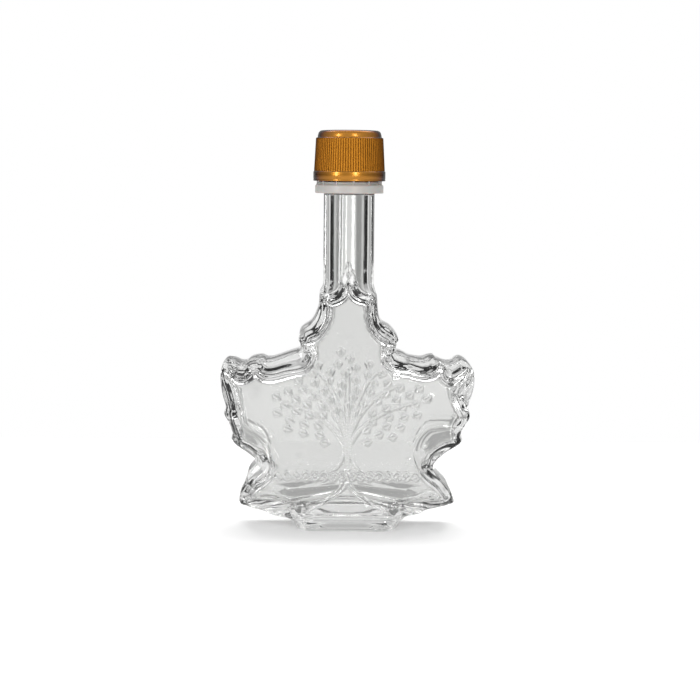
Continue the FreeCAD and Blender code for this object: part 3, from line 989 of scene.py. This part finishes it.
    def lower_face(self, points: np.ndarray, depth: np.ndarray) -> np.ndarray:
        """The face's lower part: hollow coves, the stem between them, its ridges and ramp.

        The coves deepen below a fold line and carry fan-shaped creases, the stem stays proud
        of them between double ridges and slopes out below an arched line to meet the foot.

        Args:
            points: Rows of x and z.
            depth: Half depths of the plain dome.

        Returns:
            Half depths in mm.
        """
        x = np.abs(points[:, 0])
        z = points[:, 1]
        fold = self.stem_apex_z - self.fold_slope * x
        hollow = self.cove_depth * smooth_step((fold - z) / self.cove_reach) ** 0.8
        for below, lean, height in self.creases:
            line = bell(z - fold + below + lean * x, self.crease_width)
            hollow = hollow - height * line * smooth_step((x - 3.0) / 5.0)
        wide = self.stem_width(z)
        outside = smooth_step((x - wide) / 1.6)
        arch = self.ramp_top_z - 0.0145 * x ** 2
        ramp = 2.6 * np.clip((arch - z) / (arch - self.foot_top_z + 1e-6), 0.0, 1.0)
        inside = np.clip((self.stem_apex_z - z) / 6.0, 0.0, 1.0) * 1.2
        stem = depth - inside + np.where(z < arch, ramp, 0.0)
        low = depth - hollow * (hollow > 0.0)
        ridge = sum(self.stem_ridge * height * bell(x - wide - at, self.ridge_width)
                    for at, height in self.ridges)
        ridge = np.where((z < self.stem_apex_z + 0.3) & (z > self.foot_top_z + 0.6), ridge, 0.0)
        return np.where(z < self.stem_apex_z + 0.5, stem + (low - stem) * outside + ridge, depth)

    def shoulders_of(self, paths: dict) -> tuple[np.ndarray, ...]:
        """The upper parts of a skin's outlines, left then right, which fall all the way."""
        outlines = (paths[side][0] for side in (-1, 1))
        return tuple(path[path[:, 1] > self.shoulder_z] for path in outlines)

    @staticmethod
    def turned_depth(points: np.ndarray, radius: float, shoulders: tuple) -> np.ndarray:
        """Half depth of the neck or the bore: R sqrt(1 - (x/r)^2).

        Args:
            points: Rows of x and z.
            radius: R, the radius of the turned part.
            shoulders: The outline's upper parts, whose half width at each height is r.

        Returns:
            Half depths in mm.
        """
        x, z = points.T
        reach = [np.interp(z, path[::-1, 1], np.abs(path[::-1, 0])) for path in shoulders]
        share = x / np.where(x < 0.0, reach[0], reach[1])
        return radius * arc(share)

    def outer_depth(self, points: np.ndarray, rings: tuple, shoulders: tuple,
                    raised: bool) -> np.ndarray:
        """Half depth of the outside: leaf, neck and foot joined with soft_max.

        The foot is a superellipse in plan with a rounded top.

        Args:
            points: Rows of x and z.
            rings: The leaf's two rings.
            shoulders: The outline's upper parts, left then right.
            raised: Whether to add the figure.

        Returns:
            Half depths in mm.
        """
        x = points[:, 0]
        z = points[:, 1]
        face = self.lower_face(points, self.dome(points))
        leaf = face * self.wall_rise(self.wall_share(points, rings))
        neck = self.turned_depth(points, self.neck_r, shoulders)
        neck = neck * smooth_step((z - self.neck_start_z) / 10.0)
        wide = self.foot_half_width + self.foot_flare * (z - self.cut_base_z)
        plan = np.sqrt(np.clip(1.0 - (np.abs(x) / wide) ** 10, 0.0, 1.0))
        foot = self.foot_half_depth * plan - self.foot_groove * bell(z - self.foot_groove_z, 0.35)
        foot = foot - 1.6 * np.clip(z - self.foot_top_z + 0.6, 0.0, None) ** 1.5
        foot = np.where(z < self.foot_top_z + 4.0, np.clip(foot, 0.0, None), 0.0)
        rim = bell(path_distance(points, rings[1]), self.rim_width)
        leaf = leaf + self.rim * rim * (leaf > 0.5 * self.half_depth)
        depth = soft_max(soft_max(leaf, neck, 1.6), foot, 0.8)
        if raised:
            depth = depth + self.figure.relief(points)
            for knots in SCROLLS:
                away = path_distance(points, smooth_path(np.array(knots), 0.6, False), False)
                depth = depth + self.scroll * bell(away, self.scroll_width)
            for at_x, at_z, radius, height in self.dimples:
                depth = depth + height * bell(np.hypot(x - at_x, z - at_z), radius)
        return depth

    def room_arch(self) -> np.ndarray:
        """A closed polyline that caps the room under the pointed arch and is wide below it."""
        knots = np.array(FACE_LEFT[4::-1] + ((0.0, self.apex_face_z - 1.0),) + FACE_RIGHT[:5])
        arch = smooth_path(knots, 0.6, False)
        return np.vstack((arch, ((40.0, 100.0), (40.0, -20.0), (-40.0, -20.0), (-40.0, 100.0))))

    def room_depth(self, points: np.ndarray, ring: np.ndarray, shoulders: tuple) -> np.ndarray:
        """Half depth of the inside: the leaf-shaped room below the arch, and the bore above.

        From the distance d to the outline over the rounding's width w, the profile is the
        superellipse (1 - (1 - d/w)^2.2)^(1/2.2).

        Args:
            points: Rows of x and z.
            ring: The room's outline.
            shoulders: The outline's upper parts, left then right.

        Returns:
            Half depths in mm.
        """
        away = np.where(inside_path(points, ring), path_distance(points, ring), 0.0)
        arch = self.room_arch()
        below = np.where(inside_path(points, arch), path_distance(points, arch), 0.0)
        high = points[:, 1] > self.neck_start_z
        away = np.where(high & (np.abs(points[:, 0]) < 20.0), np.minimum(away, below), away)
        share = np.clip(away / self.room_round, 0.0, 1.0)
        rounded = (1.0 - (1.0 - share) ** self.room_power) ** (1.0 / self.room_power)
        room = (self.dome(points) - self.wall) * rounded
        bore = self.turned_depth(points, self.bore_r, shoulders)
        bore = bore * smooth_step((points[:, 1] - self.neck_start_z) / 9.0)
        return soft_max(room, bore, 1.5)

    @staticmethod
    def placed(points: np.ndarray, depth: np.ndarray, side: int) -> np.ndarray:
        """Points of a half: x and z on the plane, y = side * depth, in metres."""
        return np.column_stack((points[:, 0], side * depth, points[:, 1])) * MM

    @staticmethod
    def lattice(ring: np.ndarray, spacings: tuple, place_of: PlaneField) -> np.ndarray:
        """A staggered lattice inside a ring, with its own spacing in each kind of place.

        Args:
            ring: Closed polyline, rows of x and z.
            spacings: One spacing for each kind of place.
            place_of: Gives the kind of place, from 0, for rows of x and z.

        Returns:
            Rows of x and z.
        """
        kept = []
        for kind, spacing in enumerate(spacings):
            x = np.arange(ring[:, 0].min(), ring[:, 0].max(), spacing)
            z = np.arange(ring[:, 1].min(), ring[:, 1].max(), spacing * 0.87)
            grid = np.stack(np.meshgrid(x, z), axis=-1)
            grid[1::2, :, 0] += spacing / 2.0
            points = grid.reshape(-1, 2)
            points = points[inside_path(points, ring)]
            points = points[place_of(points) == kind]
            kept.append(points[path_distance(points, ring) > 0.6 * spacing])
        return np.vstack(kept)

    def add_half(self, skin: Skin, side: int, outward: int, paths: dict, depth_of: PlaneField,
                 spacings: tuple, place_of: PlaneField) -> None:
        """Adds the front or the back of a skin: two bands and the field between them.

        A band point is P + share * (Q - P), with P on the outline and Q a little way in.

        Args:
            skin: Where the patches go.
            side: -1 for the front, 1 for the back.
            outward: 1 for the outside of the glass, -1 for the inside.
            paths: Boundary polylines P and Q of both sides, and the rows at the cuts.
            depth_of: Gives half depths for rows of x and z.
            spacings: Lattice spacings.
            place_of: Gives the kind of place for the lattice.
        """
        shares = self.band_shares()[:, None, None]
        for hand in (-1, 1):
            outline, inner = paths[hand]
            band = outline[None] * (1.0 - shares) + inner[None] * shares
            depth = depth_of(band.reshape(-1, 2))
            rows = self.placed(band.reshape(-1, 2), depth, side).reshape(*band.shape[:2], 3)
            rows[0, :, 1] = 0.0
            skin.add_grid(rows, flip=(hand * side * outward < 0))
        loop = np.vstack([paths[-1][1], paths["base"], paths[1][1][::-1], paths["top"]])
        loop = loop[np.linalg.norm(loop - np.roll(loop, 1, axis=0), axis=1) > 1e-6]
        knots = np.vstack([loop, self.lattice(loop, spacings, place_of)])
        edges = [(i, (i + 1) % len(loop)) for i in range(len(loop))]
        found = delaunay_2d_cdt([Vector(p) for p in knots.tolist()], edges, [], 1, 1e-7)
        flat = np.array([tuple(v) for v in found[0]])
        triangles = np.array([tuple(f) for f in found[2]], dtype=int)
        flat[:len(loop)] = loop
        points = self.placed(flat, depth_of(flat), side)
        skin.add_faces(points, triangles, flip=(side * outward > 0))

    def outer_paths(self) -> dict:
        """Boundary polylines of the outer skin, and the rows where neck and base join it."""
        paths = {}
        for side, table in ((-1, EDGE_LEFT), (1, EDGE_RIGHT)):
            knots = ((side * self.neck_r, self.cut_top_z), (side * self.neck_r, 120.0)) + table
            knots += ((side * self.foot_half_width, self.cut_base_z),)
            outline = smooth_path(np.array(knots), 0.8, False)
            paths[side] = (outline, moved_in(outline, self.band_width, side))
            paths[side][1][[0, -1], 1] = self.cut_top_z, self.cut_base_z
        paths["top"] = self.cut_row(paths, 0, 21)[::-1]
        paths["base"] = self.cut_row(paths, -1, 61)
        return paths

    @staticmethod
    def cut_row(paths: dict, end: int, count: int) -> np.ndarray:
        """Points strictly between the two inner paths' ends, left to right."""
        left, right = paths[-1][1][end], paths[1][1][end]
        return left + (right - left) * np.linspace(0.0, 1.0, count)[1:-1, None]

    def room_paths(self) -> dict:
        """Boundary polylines of the inner skin, which closes over the floor."""
        paths = {}
        for side, table in ((-1, ROOM_LEFT), (1, ROOM_RIGHT)):
            knots = ((side * self.bore_r, self.cut_top_z), (side * self.bore_r, 122.0)) + table
            outline = smooth_path(np.array(knots), 1.2, False)
            inner = moved_in(outline, self.band_width, side)
            inner[0, 1] = self.cut_top_z
            inner[-1] = (0.0, table[-1][1] + self.band_width)
            paths[side] = (outline, inner)
        paths["top"] = self.cut_row(paths, 0, 17)[::-1]
        paths["base"] = np.empty((0, 2))
        return paths

    def neck_profile(self) -> np.ndarray:
        """Radius and height up the neck, round the finish, over the lip and down the bore."""
        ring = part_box("collar")[0].z / MM
        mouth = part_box("bottle")[1].z / MM
        outside = [(self.neck_r, z) for z in np.linspace(self.cut_top_z, ring + 0.6, 20)]
        finish = [
            (12.6, ring + 1.7), (13.2, ring + 2.8), (13.2, 161.0), (14.3, 161.6), (14.3, 163.0),
            (13.2, 164.0), (13.2, 172.0), (13.2, mouth - 0.8), (12.4, mouth), (8.3, mouth),
            (7.5, mouth - 0.6),
        ]
        return np.array(outside + finish)

    def cut_ring(self, paths: dict) -> np.ndarray:
        """The closed ring of a skin's points at the upper cut, as shares of its radius.

        Args:
            paths: The skin's paths.

        Returns:
            Rows of x and y on the unit circle, counterclockwise seen from above.
        """
        shares = self.band_shares()
        outline, inner = paths[1][0][0, 0], paths[1][1][0, 0]
        band = (outline * (1.0 - shares) + inner * shares) / outline
        middle = paths["top"][::-1, 0] / outline
        front = np.concatenate((-band, middle, band[::-1]))
        depth = arc(front)
        lower = np.column_stack((front, -depth))
        upper = np.column_stack((front[::-1], depth[::-1]))[1:-1]
        return np.vstack((lower, upper))

    @staticmethod
    def carried(profile: np.ndarray, ring: np.ndarray) -> np.ndarray:
        """A ring carried up a profile: radius times the ring, and the height, in metres."""
        rows = np.empty((len(profile), len(ring), 3))
        rows[:, :, :2] = profile[:, 0, None, None] * ring[None]
        rows[:, :, 2] = profile[:, 1, None]
        return rows * MM

    def add_neck(self, skin: Skin, outer: dict, room: dict) -> None:
        """Adds the turned neck and the bore, and joins them just inside the mouth.

        Each is its profile's radius times the ring of its skin's points at the upper cut.

        Args:
            skin: Where the grids go.
            outer: The outer skin's paths.
            room: The inner skin's paths.
        """
        profile = self.neck_profile()
        ring = self.cut_ring(outer)
        skin.add_grid(self.carried(profile, ring), around=True)
        low_ring = self.cut_ring(room)
        lip_r, lip_z = profile[-1]
        bore = [(self.bore_r, z) for z in np.linspace(self.cut_top_z, lip_z - 1.0, 24)]
        skin.add_grid(self.carried(np.array(bore), low_ring), flip=True, around=True)
        self.stitch(skin, ring * lip_r, lip_z, low_ring * self.bore_r, bore[-1][1])

    @staticmethod
    def stitch(skin: Skin, high: np.ndarray, high_z: float, low: np.ndarray, low_z: float) -> None:
        """Joins two rings of different counts with triangles, stepping whichever lags in angle.

        Args:
            skin: Where the triangles go.
            high: Upper ring, rows of x and y, counterclockwise from the far left.
            high_z: Its height.
            low: Lower ring, the same way round.
            low_z: Its height.
        """
        counts = (len(high), len(low))
        turns = []
        for ring in (high, low):
            angle = np.unwrap(np.arctan2(ring[:, 1], ring[:, 0]))
            turns.append(np.append(angle, angle[0] + 2.0 * math.pi) - angle[0])
        order = np.argsort(np.concatenate((turns[0][1:], turns[1][1:] + 1e-9)), kind="stable")
        on_high = order < counts[0]
        i = np.concatenate(([0], np.cumsum(on_high)))
        j = np.concatenate(([0], np.cumsum(~on_high)))
        third = np.where(on_high, i[1:] % counts[0], counts[0] + j[1:] % counts[1])
        faces = np.column_stack((i[:-1] % counts[0], third, counts[0] + j[:-1] % counts[1]))
        points = np.vstack((
            np.column_stack((high, np.full(counts[0], high_z))),
            np.column_stack((low, np.full(counts[1], low_z))),
        ))
        skin.add_faces(points * MM, faces)

    def add_base(self, skin: Skin, paths: dict, depth_of: PlaneField) -> None:
        """Adds the underside: a rounded heel, a rim to stand on and a shallow push-up.

        With q the superellipse distance from the middle, the heel is a quarter ellipse out
        to q = 1, and the push-up is a smooth rise towards the middle.

        Args:
            skin: Where the grid goes.
            paths: The outer skin's paths.
            depth_of: Gives the outer half depth for rows of x and z.
        """
        shares = self.band_shares()
        left, right = (
            paths[side][0][-1, 0] * (1.0 - shares) + paths[side][1][-1, 0] * shares
            for side in (-1, 1)
        )
        x = np.concatenate((left, paths["base"][:, 0], right[::-1]))
        depth = depth_of(np.column_stack((x, np.full(len(x), self.cut_base_z))))
        depth[[0, -1]] = 0.0
        across = np.sin(np.linspace(-math.pi / 2.0, math.pi / 2.0, 41))[:, None]
        y = across * depth[None]
        q = (np.abs(x[None] / self.foot_half_width) ** 6 + np.abs(across) ** 6) ** (1.0 / 6.0)
        q = np.where((np.abs(across) > 0.9999) | (depth[None] < 1e-9), 1.0, np.minimum(q, 1.0))
        heel = np.clip((q - self.heel_from) / (1.0 - self.heel_from), 0.0, 1.0)
        height = self.cut_base_z * (1.0 - arc(heel))
        height = height + self.push_up * smooth_step((self.push_up_within - q) / 0.5)
        rows = np.stack(np.broadcast_arrays(x[None], y, height), axis=-1)
        skin.add_grid(rows * MM, flip=True)

    def build(self) -> bpy.types.Object:
        """Makes the bottle's closed skin, outside and inside.

        Returns:
            The glass object.
        """
        skin = Skin()
        outer = self.outer_paths()
        rings = self.leaf_rings(outer)
        shoulders = self.shoulders_of(outer)
        room = self.room_paths()
        room_ring = self.room_ring(room)
        room_shoulders = self.shoulders_of(room)

        def front_place(points: np.ndarray) -> np.ndarray:
            """0 over the figure and the lower face, 1 on the side walls, 2 on the plain face."""
            x = np.abs(points[:, 0])
            z = points[:, 1]
            fine = (x < 38.0) & (z < 89.0 - 0.45 * x) & ((z > 20.0) | (x < 28.0))
            wall = ~inside_path(points, rings[1]) | (path_distance(points, rings[1]) < 1.2)
            return np.where(fine, 0, np.where(wall, 1, 2))

        def back_place(points: np.ndarray) -> np.ndarray:
            """0 on the side walls and the lower face, 1 elsewhere."""
            wall = ~inside_path(points, rings[1]) | (points[:, 1] < 24.0)
            return np.where(wall, 0, 1)

        def room_place(points: np.ndarray) -> np.ndarray:
            """0 round the arch, 1 where the room rounds over, 2 on its faces."""
            near = path_distance(points, room_ring) < self.room_round + 1.0
            return np.where(points[:, 1] > self.shoulder_z, 0, np.where(near, 1, 2))

        def front_depth(points: np.ndarray) -> np.ndarray:
            """Half depths of the outside with the figure."""
            return self.outer_depth(points, rings, shoulders, True)

        def back_depth(points: np.ndarray) -> np.ndarray:
            """Half depths of the outside without the figure."""
            return self.outer_depth(points, rings, shoulders, False)

        def hollow_depth(points: np.ndarray) -> np.ndarray:
            """Half depths of the inside."""
            return self.room_depth(points, room_ring, room_shoulders)

        self.add_half(skin, -1, 1, outer, front_depth, self.front_spacings, front_place)
        self.add_half(skin, 1, 1, outer, back_depth, self.back_spacings, back_place)
        self.add_base(skin, outer, back_depth)
        self.add_neck(skin, outer, room)
        for side in (-1, 1):
            self.add_half(skin, side, -1, room, hollow_depth, self.room_spacings, room_place)
        return skin.build("glass")


# ---- the closure -----------------------------------------------------------------------


@dataclass
class ScrewCap(Assembly):
    """The ribbed cap, a hollow turned shell, in mm. Heights are below the top or above the rim."""

    part: ClassVar[Part] = Part.CAP
    finish: ClassVar[Finish] = GOLD_PLASTIC

    top_r: float = 14.9
    rib_top_r: float = 15.8
    rib_base_r: float = 16.55
    band_r: float = 16.88
    wall: float = 1.3
    top_wall: float = 1.5
    rib_count: int = 84
    rib_depth: float = 0.3
    rib_start: float = 3.9
    band_height: float = 4.5
    samples: int = 10

    def profile(self) -> np.ndarray:
        """The shell's section from the middle of the top, down outside and up inside.

        Returns:
            Rows of radius, height and share of the full rib depth.
        """
        low, high = (corner.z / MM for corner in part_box(Part.CAP.value))
        ribs = high - self.rib_start
        band = low + self.band_height
        dome = [
            (r, high - 0.25 * (r / 12.6) ** 4, 0.0) for r in np.linspace(0.0, 12.6, 12)
        ]
        turn = [
            (12.6 + 2.1 * math.sin(a), high - 2.15 + 1.9 * math.cos(a), 0.0)
            for a in np.linspace(0.25, 1.45, 9)
        ]
        side = [
            (self.top_r, high - 2.6, 0.0), (self.top_r + 0.05, ribs + 0.55, 0.0),
            (self.top_r + 0.2, ribs + 0.3, 0.0), (self.rib_top_r - 0.25, ribs + 0.18, 0.1),
            (self.rib_top_r - 0.08, ribs, 0.4), (self.rib_top_r, ribs - 0.25, 0.8),
        ]
        share = np.linspace(0.0, 1.0, 12)
        straight = [
            (self.rib_top_r + (self.rib_base_r - self.rib_top_r) * t,
             ribs - 0.6 + (band + 0.7 - ribs + 0.6) * t, 1.0) for t in share
        ]
        lip = [
            (self.rib_base_r, band + 0.4, 0.9), (self.rib_base_r, band + 0.15, 0.4),
            (self.rib_base_r + 0.05, band, 0.0), (self.band_r - 0.08, band - 0.1, 0.0),
            (self.band_r, band - 0.3, 0.0), (self.band_r, low + 1.1, 0.0),
            (self.band_r - 0.12, low + 0.95, 0.0), (self.band_r - 0.12, low + 0.75, 0.0),
            (self.band_r, low + 0.6, 0.0), (self.band_r, low + 0.25, 0.0),
            (self.band_r - 0.2, low, 0.0), (self.band_r - self.wall + 0.2, low, 0.0),
            (self.band_r - self.wall, low + 0.25, 0.0),
        ]
        inside = [
            (self.band_r - self.wall - 0.1, band, 0.0), (self.top_r - 0.25, ribs, 0.0),
            (self.top_r - 0.7, high - self.top_wall - 0.6, 0.0),
            (self.top_r - 1.3, high - self.top_wall, 0.0), (0.0, high - self.top_wall, 0.0),
        ]
        return np.array(dome + turn + side + straight + lip + inside)

    def build(self) -> bpy.types.Object:
        """Makes the cap's mesh.

        The radius is the profile's less depth * (1 - |cos(n a / 2)|)^1.5 for n ribs at angle a,
        which gives rounded ribs with sharp, narrow grooves between them.

        Returns:
            The cap object.
        """
        profile = self.profile()
        turn = np.arange(self.rib_count * self.samples) * (2.0 * math.pi) / (
            self.rib_count * self.samples)
        groove = (1.0 - np.abs(np.cos(self.rib_count * turn / 2.0))) ** 1.5
        radius = profile[:, :1] - self.rib_depth * profile[:, 2:] * groove[None]
        skin = Skin()
        skin.add_grid(turned(radius, profile[:, 1:2], turn) * MM, flip=True, around=True)
        return skin.build("screw_cap")


@dataclass
class TamperRing(Assembly):
    """The ring below the cap, with its upstand and the small bridges to the cap, in mm."""

    part: ClassVar[Part] = Part.RING
    finish: ClassVar[Finish] = MILKY_PLASTIC

    inner_r: float = 13.8
    outer_r: float = 16.0
    gap: float = 1.4
    bridges: int = 12
    first_turn_deg: float = 7.0
    bridge_size: tuple[float, float] = (0.9, 0.7)
    samples: int = 240

    def ring_rows(self) -> np.ndarray:
        """Points of the ring: its section turned round the axis."""
        low, high = (corner.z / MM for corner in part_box(Part.RING.value))
        top = high - self.gap
        r = self.outer_r
        section = np.array((
            (self.inner_r, low + 0.2), (self.inner_r + 0.2, low), (r - 0.4, low),
            (r - 0.12, low + 0.1), (r, low + 0.35), (r, low + 0.8), (r, top - 1.0),
            (r - 0.06, top - 0.8), (r - 0.55, top - 0.28), (r - 0.75, top - 0.15),
            (r - 1.05, top), (self.inner_r + 1.05, top + 0.1), (self.inner_r + 1.05, high - 0.5),
            (self.inner_r + 0.95, high - 0.35), (self.inner_r + 0.7, high - 0.35),
            (self.inner_r + 0.6, high - 0.5), (self.inner_r + 0.6, top), (self.inner_r, top - 0.6),
            (self.inner_r, low + 0.2),
        ))
        turn = np.arange(self.samples) * (2.0 * math.pi / self.samples)
        return turned(section[:, :1], section[:, 1:], turn)

    def bridge_rows(self, index: int) -> np.ndarray:
        """Points of one bridge: a rounded post, wider where it meets the ring and the cap.

        Args:
            index: Which bridge, counted round the ring.

        Returns:
            A closed grid of points.
        """
        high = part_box(Part.RING.value)[1].z / MM
        heights = np.linspace(high - self.gap - 0.3, high, 9)
        share = np.linspace(-1.0, 1.0, 9)
        spread = 0.72 + 0.28 * share ** 2
        heights = np.concatenate((heights[:1], heights, heights[-1:]))
        spread = np.concatenate(([0.0], spread, [0.0]))
        a = np.arange(20) * (2.0 * math.pi / 20)
        cx = np.sign(np.cos(a)) * np.abs(np.cos(a)) ** 0.6 * self.bridge_size[0] / 2.0
        cy = np.sign(np.sin(a)) * np.abs(np.sin(a)) ** 0.6 * self.bridge_size[1] / 2.0
        out = self.outer_r - 0.95 + spread[:, None] * cx
        across = spread[:, None] * cy
        turn = 2.0 * math.pi * index / self.bridges + math.radians(self.first_turn_deg)
        return np.stack(np.broadcast_arrays(
            out * math.cos(turn) - across * math.sin(turn),
            out * math.sin(turn) + across * math.cos(turn), heights[:, None]), axis=-1)

    def build(self) -> bpy.types.Object:
        """Makes the ring's mesh with all its bridges.

        Returns:
            The ring object.
        """
        skin = Skin()
        skin.add_grid(self.ring_rows() * MM, around=True)
        for index in range(self.bridges):
            skin.add_grid(self.bridge_rows(index) * MM, around=True)
        return skin.build("tamper_ring")


# ---- studio ----------------------------------------------------------------------------


@dataclass(frozen=True)
class Lamp:
    """A soft area lamp aimed at the bottle.

    The azimuth is in degrees round from the front, positive to the right. The lamp is so far
    away level with the floor and so high above it, in metres, and its power is in watts.
    """

    name: str
    azimuth: float
    away: float
    height: float
    size: tuple[float, float]
    power: float

    def build(self) -> None:
        """Adds the lamp to the scene."""
        data = bpy.data.lights.new(self.name, "AREA")
        data.shape = "RECTANGLE"
        data.size, data.size_y = self.size
        data.energy = self.power
        lamp = bpy.data.objects.new(self.name, data)
        turn = math.radians(self.azimuth)
        lamp.location = (self.away * math.sin(turn), -self.away * math.cos(turn), self.height)
        aim = Vector((0.0, 0.0, 0.1)) - lamp.location
        lamp.rotation_euler = aim.to_track_quat("-Z", "Y").to_euler()
        bpy.context.scene.collection.objects.link(lamp)


@dataclass
class Studio:
    """Pale floor, soft lamps, a world with a few dark bands, and the camera, in metres.

    The world's stops are pairs of a direction's share, from -1 to 1, and a grey. The first
    row goes by the share along the view, and the second by the share upwards.
    """

    distance: float = 1.0
    camera_z: float = 0.1732
    aim: tuple[float, float, float] = (0.001, 0.0, 0.0832)
    sensor: float = 36.0
    lens_to_sensor: float = 3.04
    roll_deg: float = 0.5
    sweep_half: float = 0.26
    sweep_front: float = -0.9
    sweep_back: float = 0.3
    floor_grey: float = 0.9
    floor_through: float = 0.55
    floor_glow: float = 0.1
    ambient: float = 0.65
    brightest: float = 1.2
    ahead: tuple[float, float, float] = (0.0, 0.9953, -0.0968)
    around_stops: tuple = (
        (-1.0, 0.5), (-0.8, 0.35), (-0.5, 0.05), (0.755, 0.0), (0.79, 0.8), (0.88, 0.85),
        (0.9, 0.75), (0.94, 0.5), (0.965, 0.4), (0.987, 0.4), (0.9935, 0.9), (1.0, 0.9),
    )
    upward_stops: tuple = (
        (-1.0, 1.2), (-0.3, 1.2), (-0.22, 0.95), (-0.17, 0.45), (-0.1, 0.45), (-0.078, 0.6),
        (-0.062, 0.0), (-0.012, 0.0), (0.0, 0.4), (0.15, 0.45), (0.3, 0.8), (0.6, 0.95),
        (1.0, 0.75),
    )
    lamps: tuple[Lamp, ...] = (
        Lamp("strip left", -42.0, 0.9, 0.3, (0.14, 0.6), 3.2),
        Lamp("strip right", 20.0, 0.9, 0.3, (0.14, 0.6), 3.0),
        Lamp("top", 176.0, 0.3, 0.75, (0.9, 0.35), 5.5),
    )

    @staticmethod
    def rays(nodes: Nodes) -> tuple[bpy.types.NodeOutputs, bpy.types.NodeSocket]:
        """Adds Light Path and gives its outputs, and 1 for camera, glossy and passing rays."""
        rays = nodes.add("ShaderNodeLightPath").outputs
        direct = nodes.math("MAXIMUM", rays["Is Camera Ray"], rays["Is Glossy Ray"])
        return rays, nodes.math("MAXIMUM", direct, rays["Is Transmission Ray"])

    def build_floor(self) -> None:
        """Lays the floor: pale paper under the foot, with a glow, greyer through the glass."""
        skin = Skin()
        x, y = np.meshgrid(np.linspace(-self.sweep_half, self.sweep_half, 5),
                           np.linspace(self.sweep_front, self.sweep_back, 9))
        skin.add_grid(np.stack((x, y, np.zeros_like(x)), axis=-1))
        floor = skin.build("floor")
        material = bpy.data.materials.new("pale floor")
        material.use_nodes = True
        nodes = Nodes(material.node_tree)
        sockets = material.node_tree.nodes["Principled BSDF"].inputs
        for name, value in (("Roughness", 0.9), ("Specular IOR Level", 0.0),
                            ("Emission Color", WHITE)):
            sockets[name].default_value = value
        rays, seen = self.rays(nodes)
        nodes.put(sockets["Emission Strength"], nodes.math("MULTIPLY", seen, self.floor_glow))
        nodes.put(sockets["Base Color"], nodes.math(
            "MULTIPLY_ADD", rays["Is Transmission Ray"], self.floor_through - self.floor_grey,
            self.floor_grey))
        floor.data.materials.append(material)

    def ramp(self, nodes: Nodes, source: bpy.types.NodeSocket, stops: tuple
             ) -> bpy.types.NodeSocket:
        """A grey ramp over a socket from -1 to 1, with its greys over the brightest.

        Args:
            nodes: The world's nodes.
            source: The socket.
            stops: Pairs of a value of the socket and a grey.

        Returns:
            The ramp's colour.
        """
        ramp = nodes.add("ShaderNodeValToRGB")
        points = ramp.color_ramp.elements
        scaled = [(0.5 + 0.5 * at, grey / self.brightest) for at, grey in stops]
        for element, (at, grey) in zip(list(points), (scaled[0], scaled[-1])):
            element.position = at
            element.color = (grey, grey, grey, 1.0)
        for at, grey in scaled[1:-1]:
            points.new(at).color = (grey, grey, grey, 1.0)
        nodes.put(ramp.inputs["Fac"], nodes.math("MULTIPLY_ADD", source, 0.5, 0.5))
        return ramp.outputs["Color"]

    def build_world(self) -> None:
        """White to the camera. To other rays pale ahead, above and below, dark at the sides."""
        world = bpy.data.worlds.new("studio")
        bpy.context.scene.world = world
        world.use_nodes = True
        nodes = Nodes(world.node_tree)
        sockets = world.node_tree.nodes["Background"].inputs
        place = nodes.place("Generated")
        along = nodes.add("ShaderNodeVectorMath", operation="DOT_PRODUCT")
        nodes.put(along.inputs[0], place)
        nodes.put(along.inputs[1], self.ahead)
        around = self.ramp(nodes, along.outputs["Value"], self.around_stops)
        upward = self.ramp(nodes, nodes.apart(place)[2], self.upward_stops)
        restored = nodes.add("ShaderNodeVectorMath", operation="SCALE")
        nodes.put(restored.inputs[0], nodes.mix(1.0, around, upward, blend_type="LIGHTEN"))
        nodes.put(restored.inputs["Scale"], self.brightest)
        rays, seen = self.rays(nodes)
        shown = nodes.mix(rays["Is Camera Ray"], restored.outputs["Vector"], WHITE)
        nodes.put(sockets["Color"], shown)
        nodes.put(sockets["Strength"],
                  nodes.math("MULTIPLY_ADD", seen, 1.0 - self.ambient, self.ambient))

    def build_camera(self) -> None:
        """Puts the camera in front, a little above the shoulder, and tips it by its roll."""
        data = bpy.data.cameras.new("camera")
        data.sensor_width = self.sensor
        data.lens = self.sensor * self.lens_to_sensor
        camera = bpy.data.objects.new("camera", data)
        camera.location = (0.0, -self.distance, self.camera_z)
        aim = Vector(self.aim) - camera.location
        turn = aim.to_track_quat("-Z", "Y").to_matrix().to_4x4()
        roll = Matrix.Rotation(math.radians(self.roll_deg), 4, "Z")
        camera.matrix_world = Matrix.Translation(camera.location) @ turn @ roll
        bpy.context.scene.collection.objects.link(camera)
        bpy.context.scene.camera = camera

    def build(self) -> None:
        """Sets up floor, world, lamps, camera and the view transform."""
        self.build_floor()
        self.build_world()
        for lamp in self.lamps:
            lamp.build()
        self.build_camera()
        bpy.context.scene.view_settings.view_transform = "Standard"


def main() -> None:
    """Builds the pieces in order and reports each one."""
    logging.basicConfig(level=logging.INFO)
    effects = Effects(mould_ripple_group(), grain_group())
    for assembly in (Glass(), ScrewCap(), TamperRing()):
        piece = assembly.build()
        assembly.dress(piece, effects)
        LOG.info("%s: %d faces, %d open edges", piece.name, len(piece.data.polygons),
                 open_edges(piece))
    Studio().build()


if __name__ == "__main__":
    main()
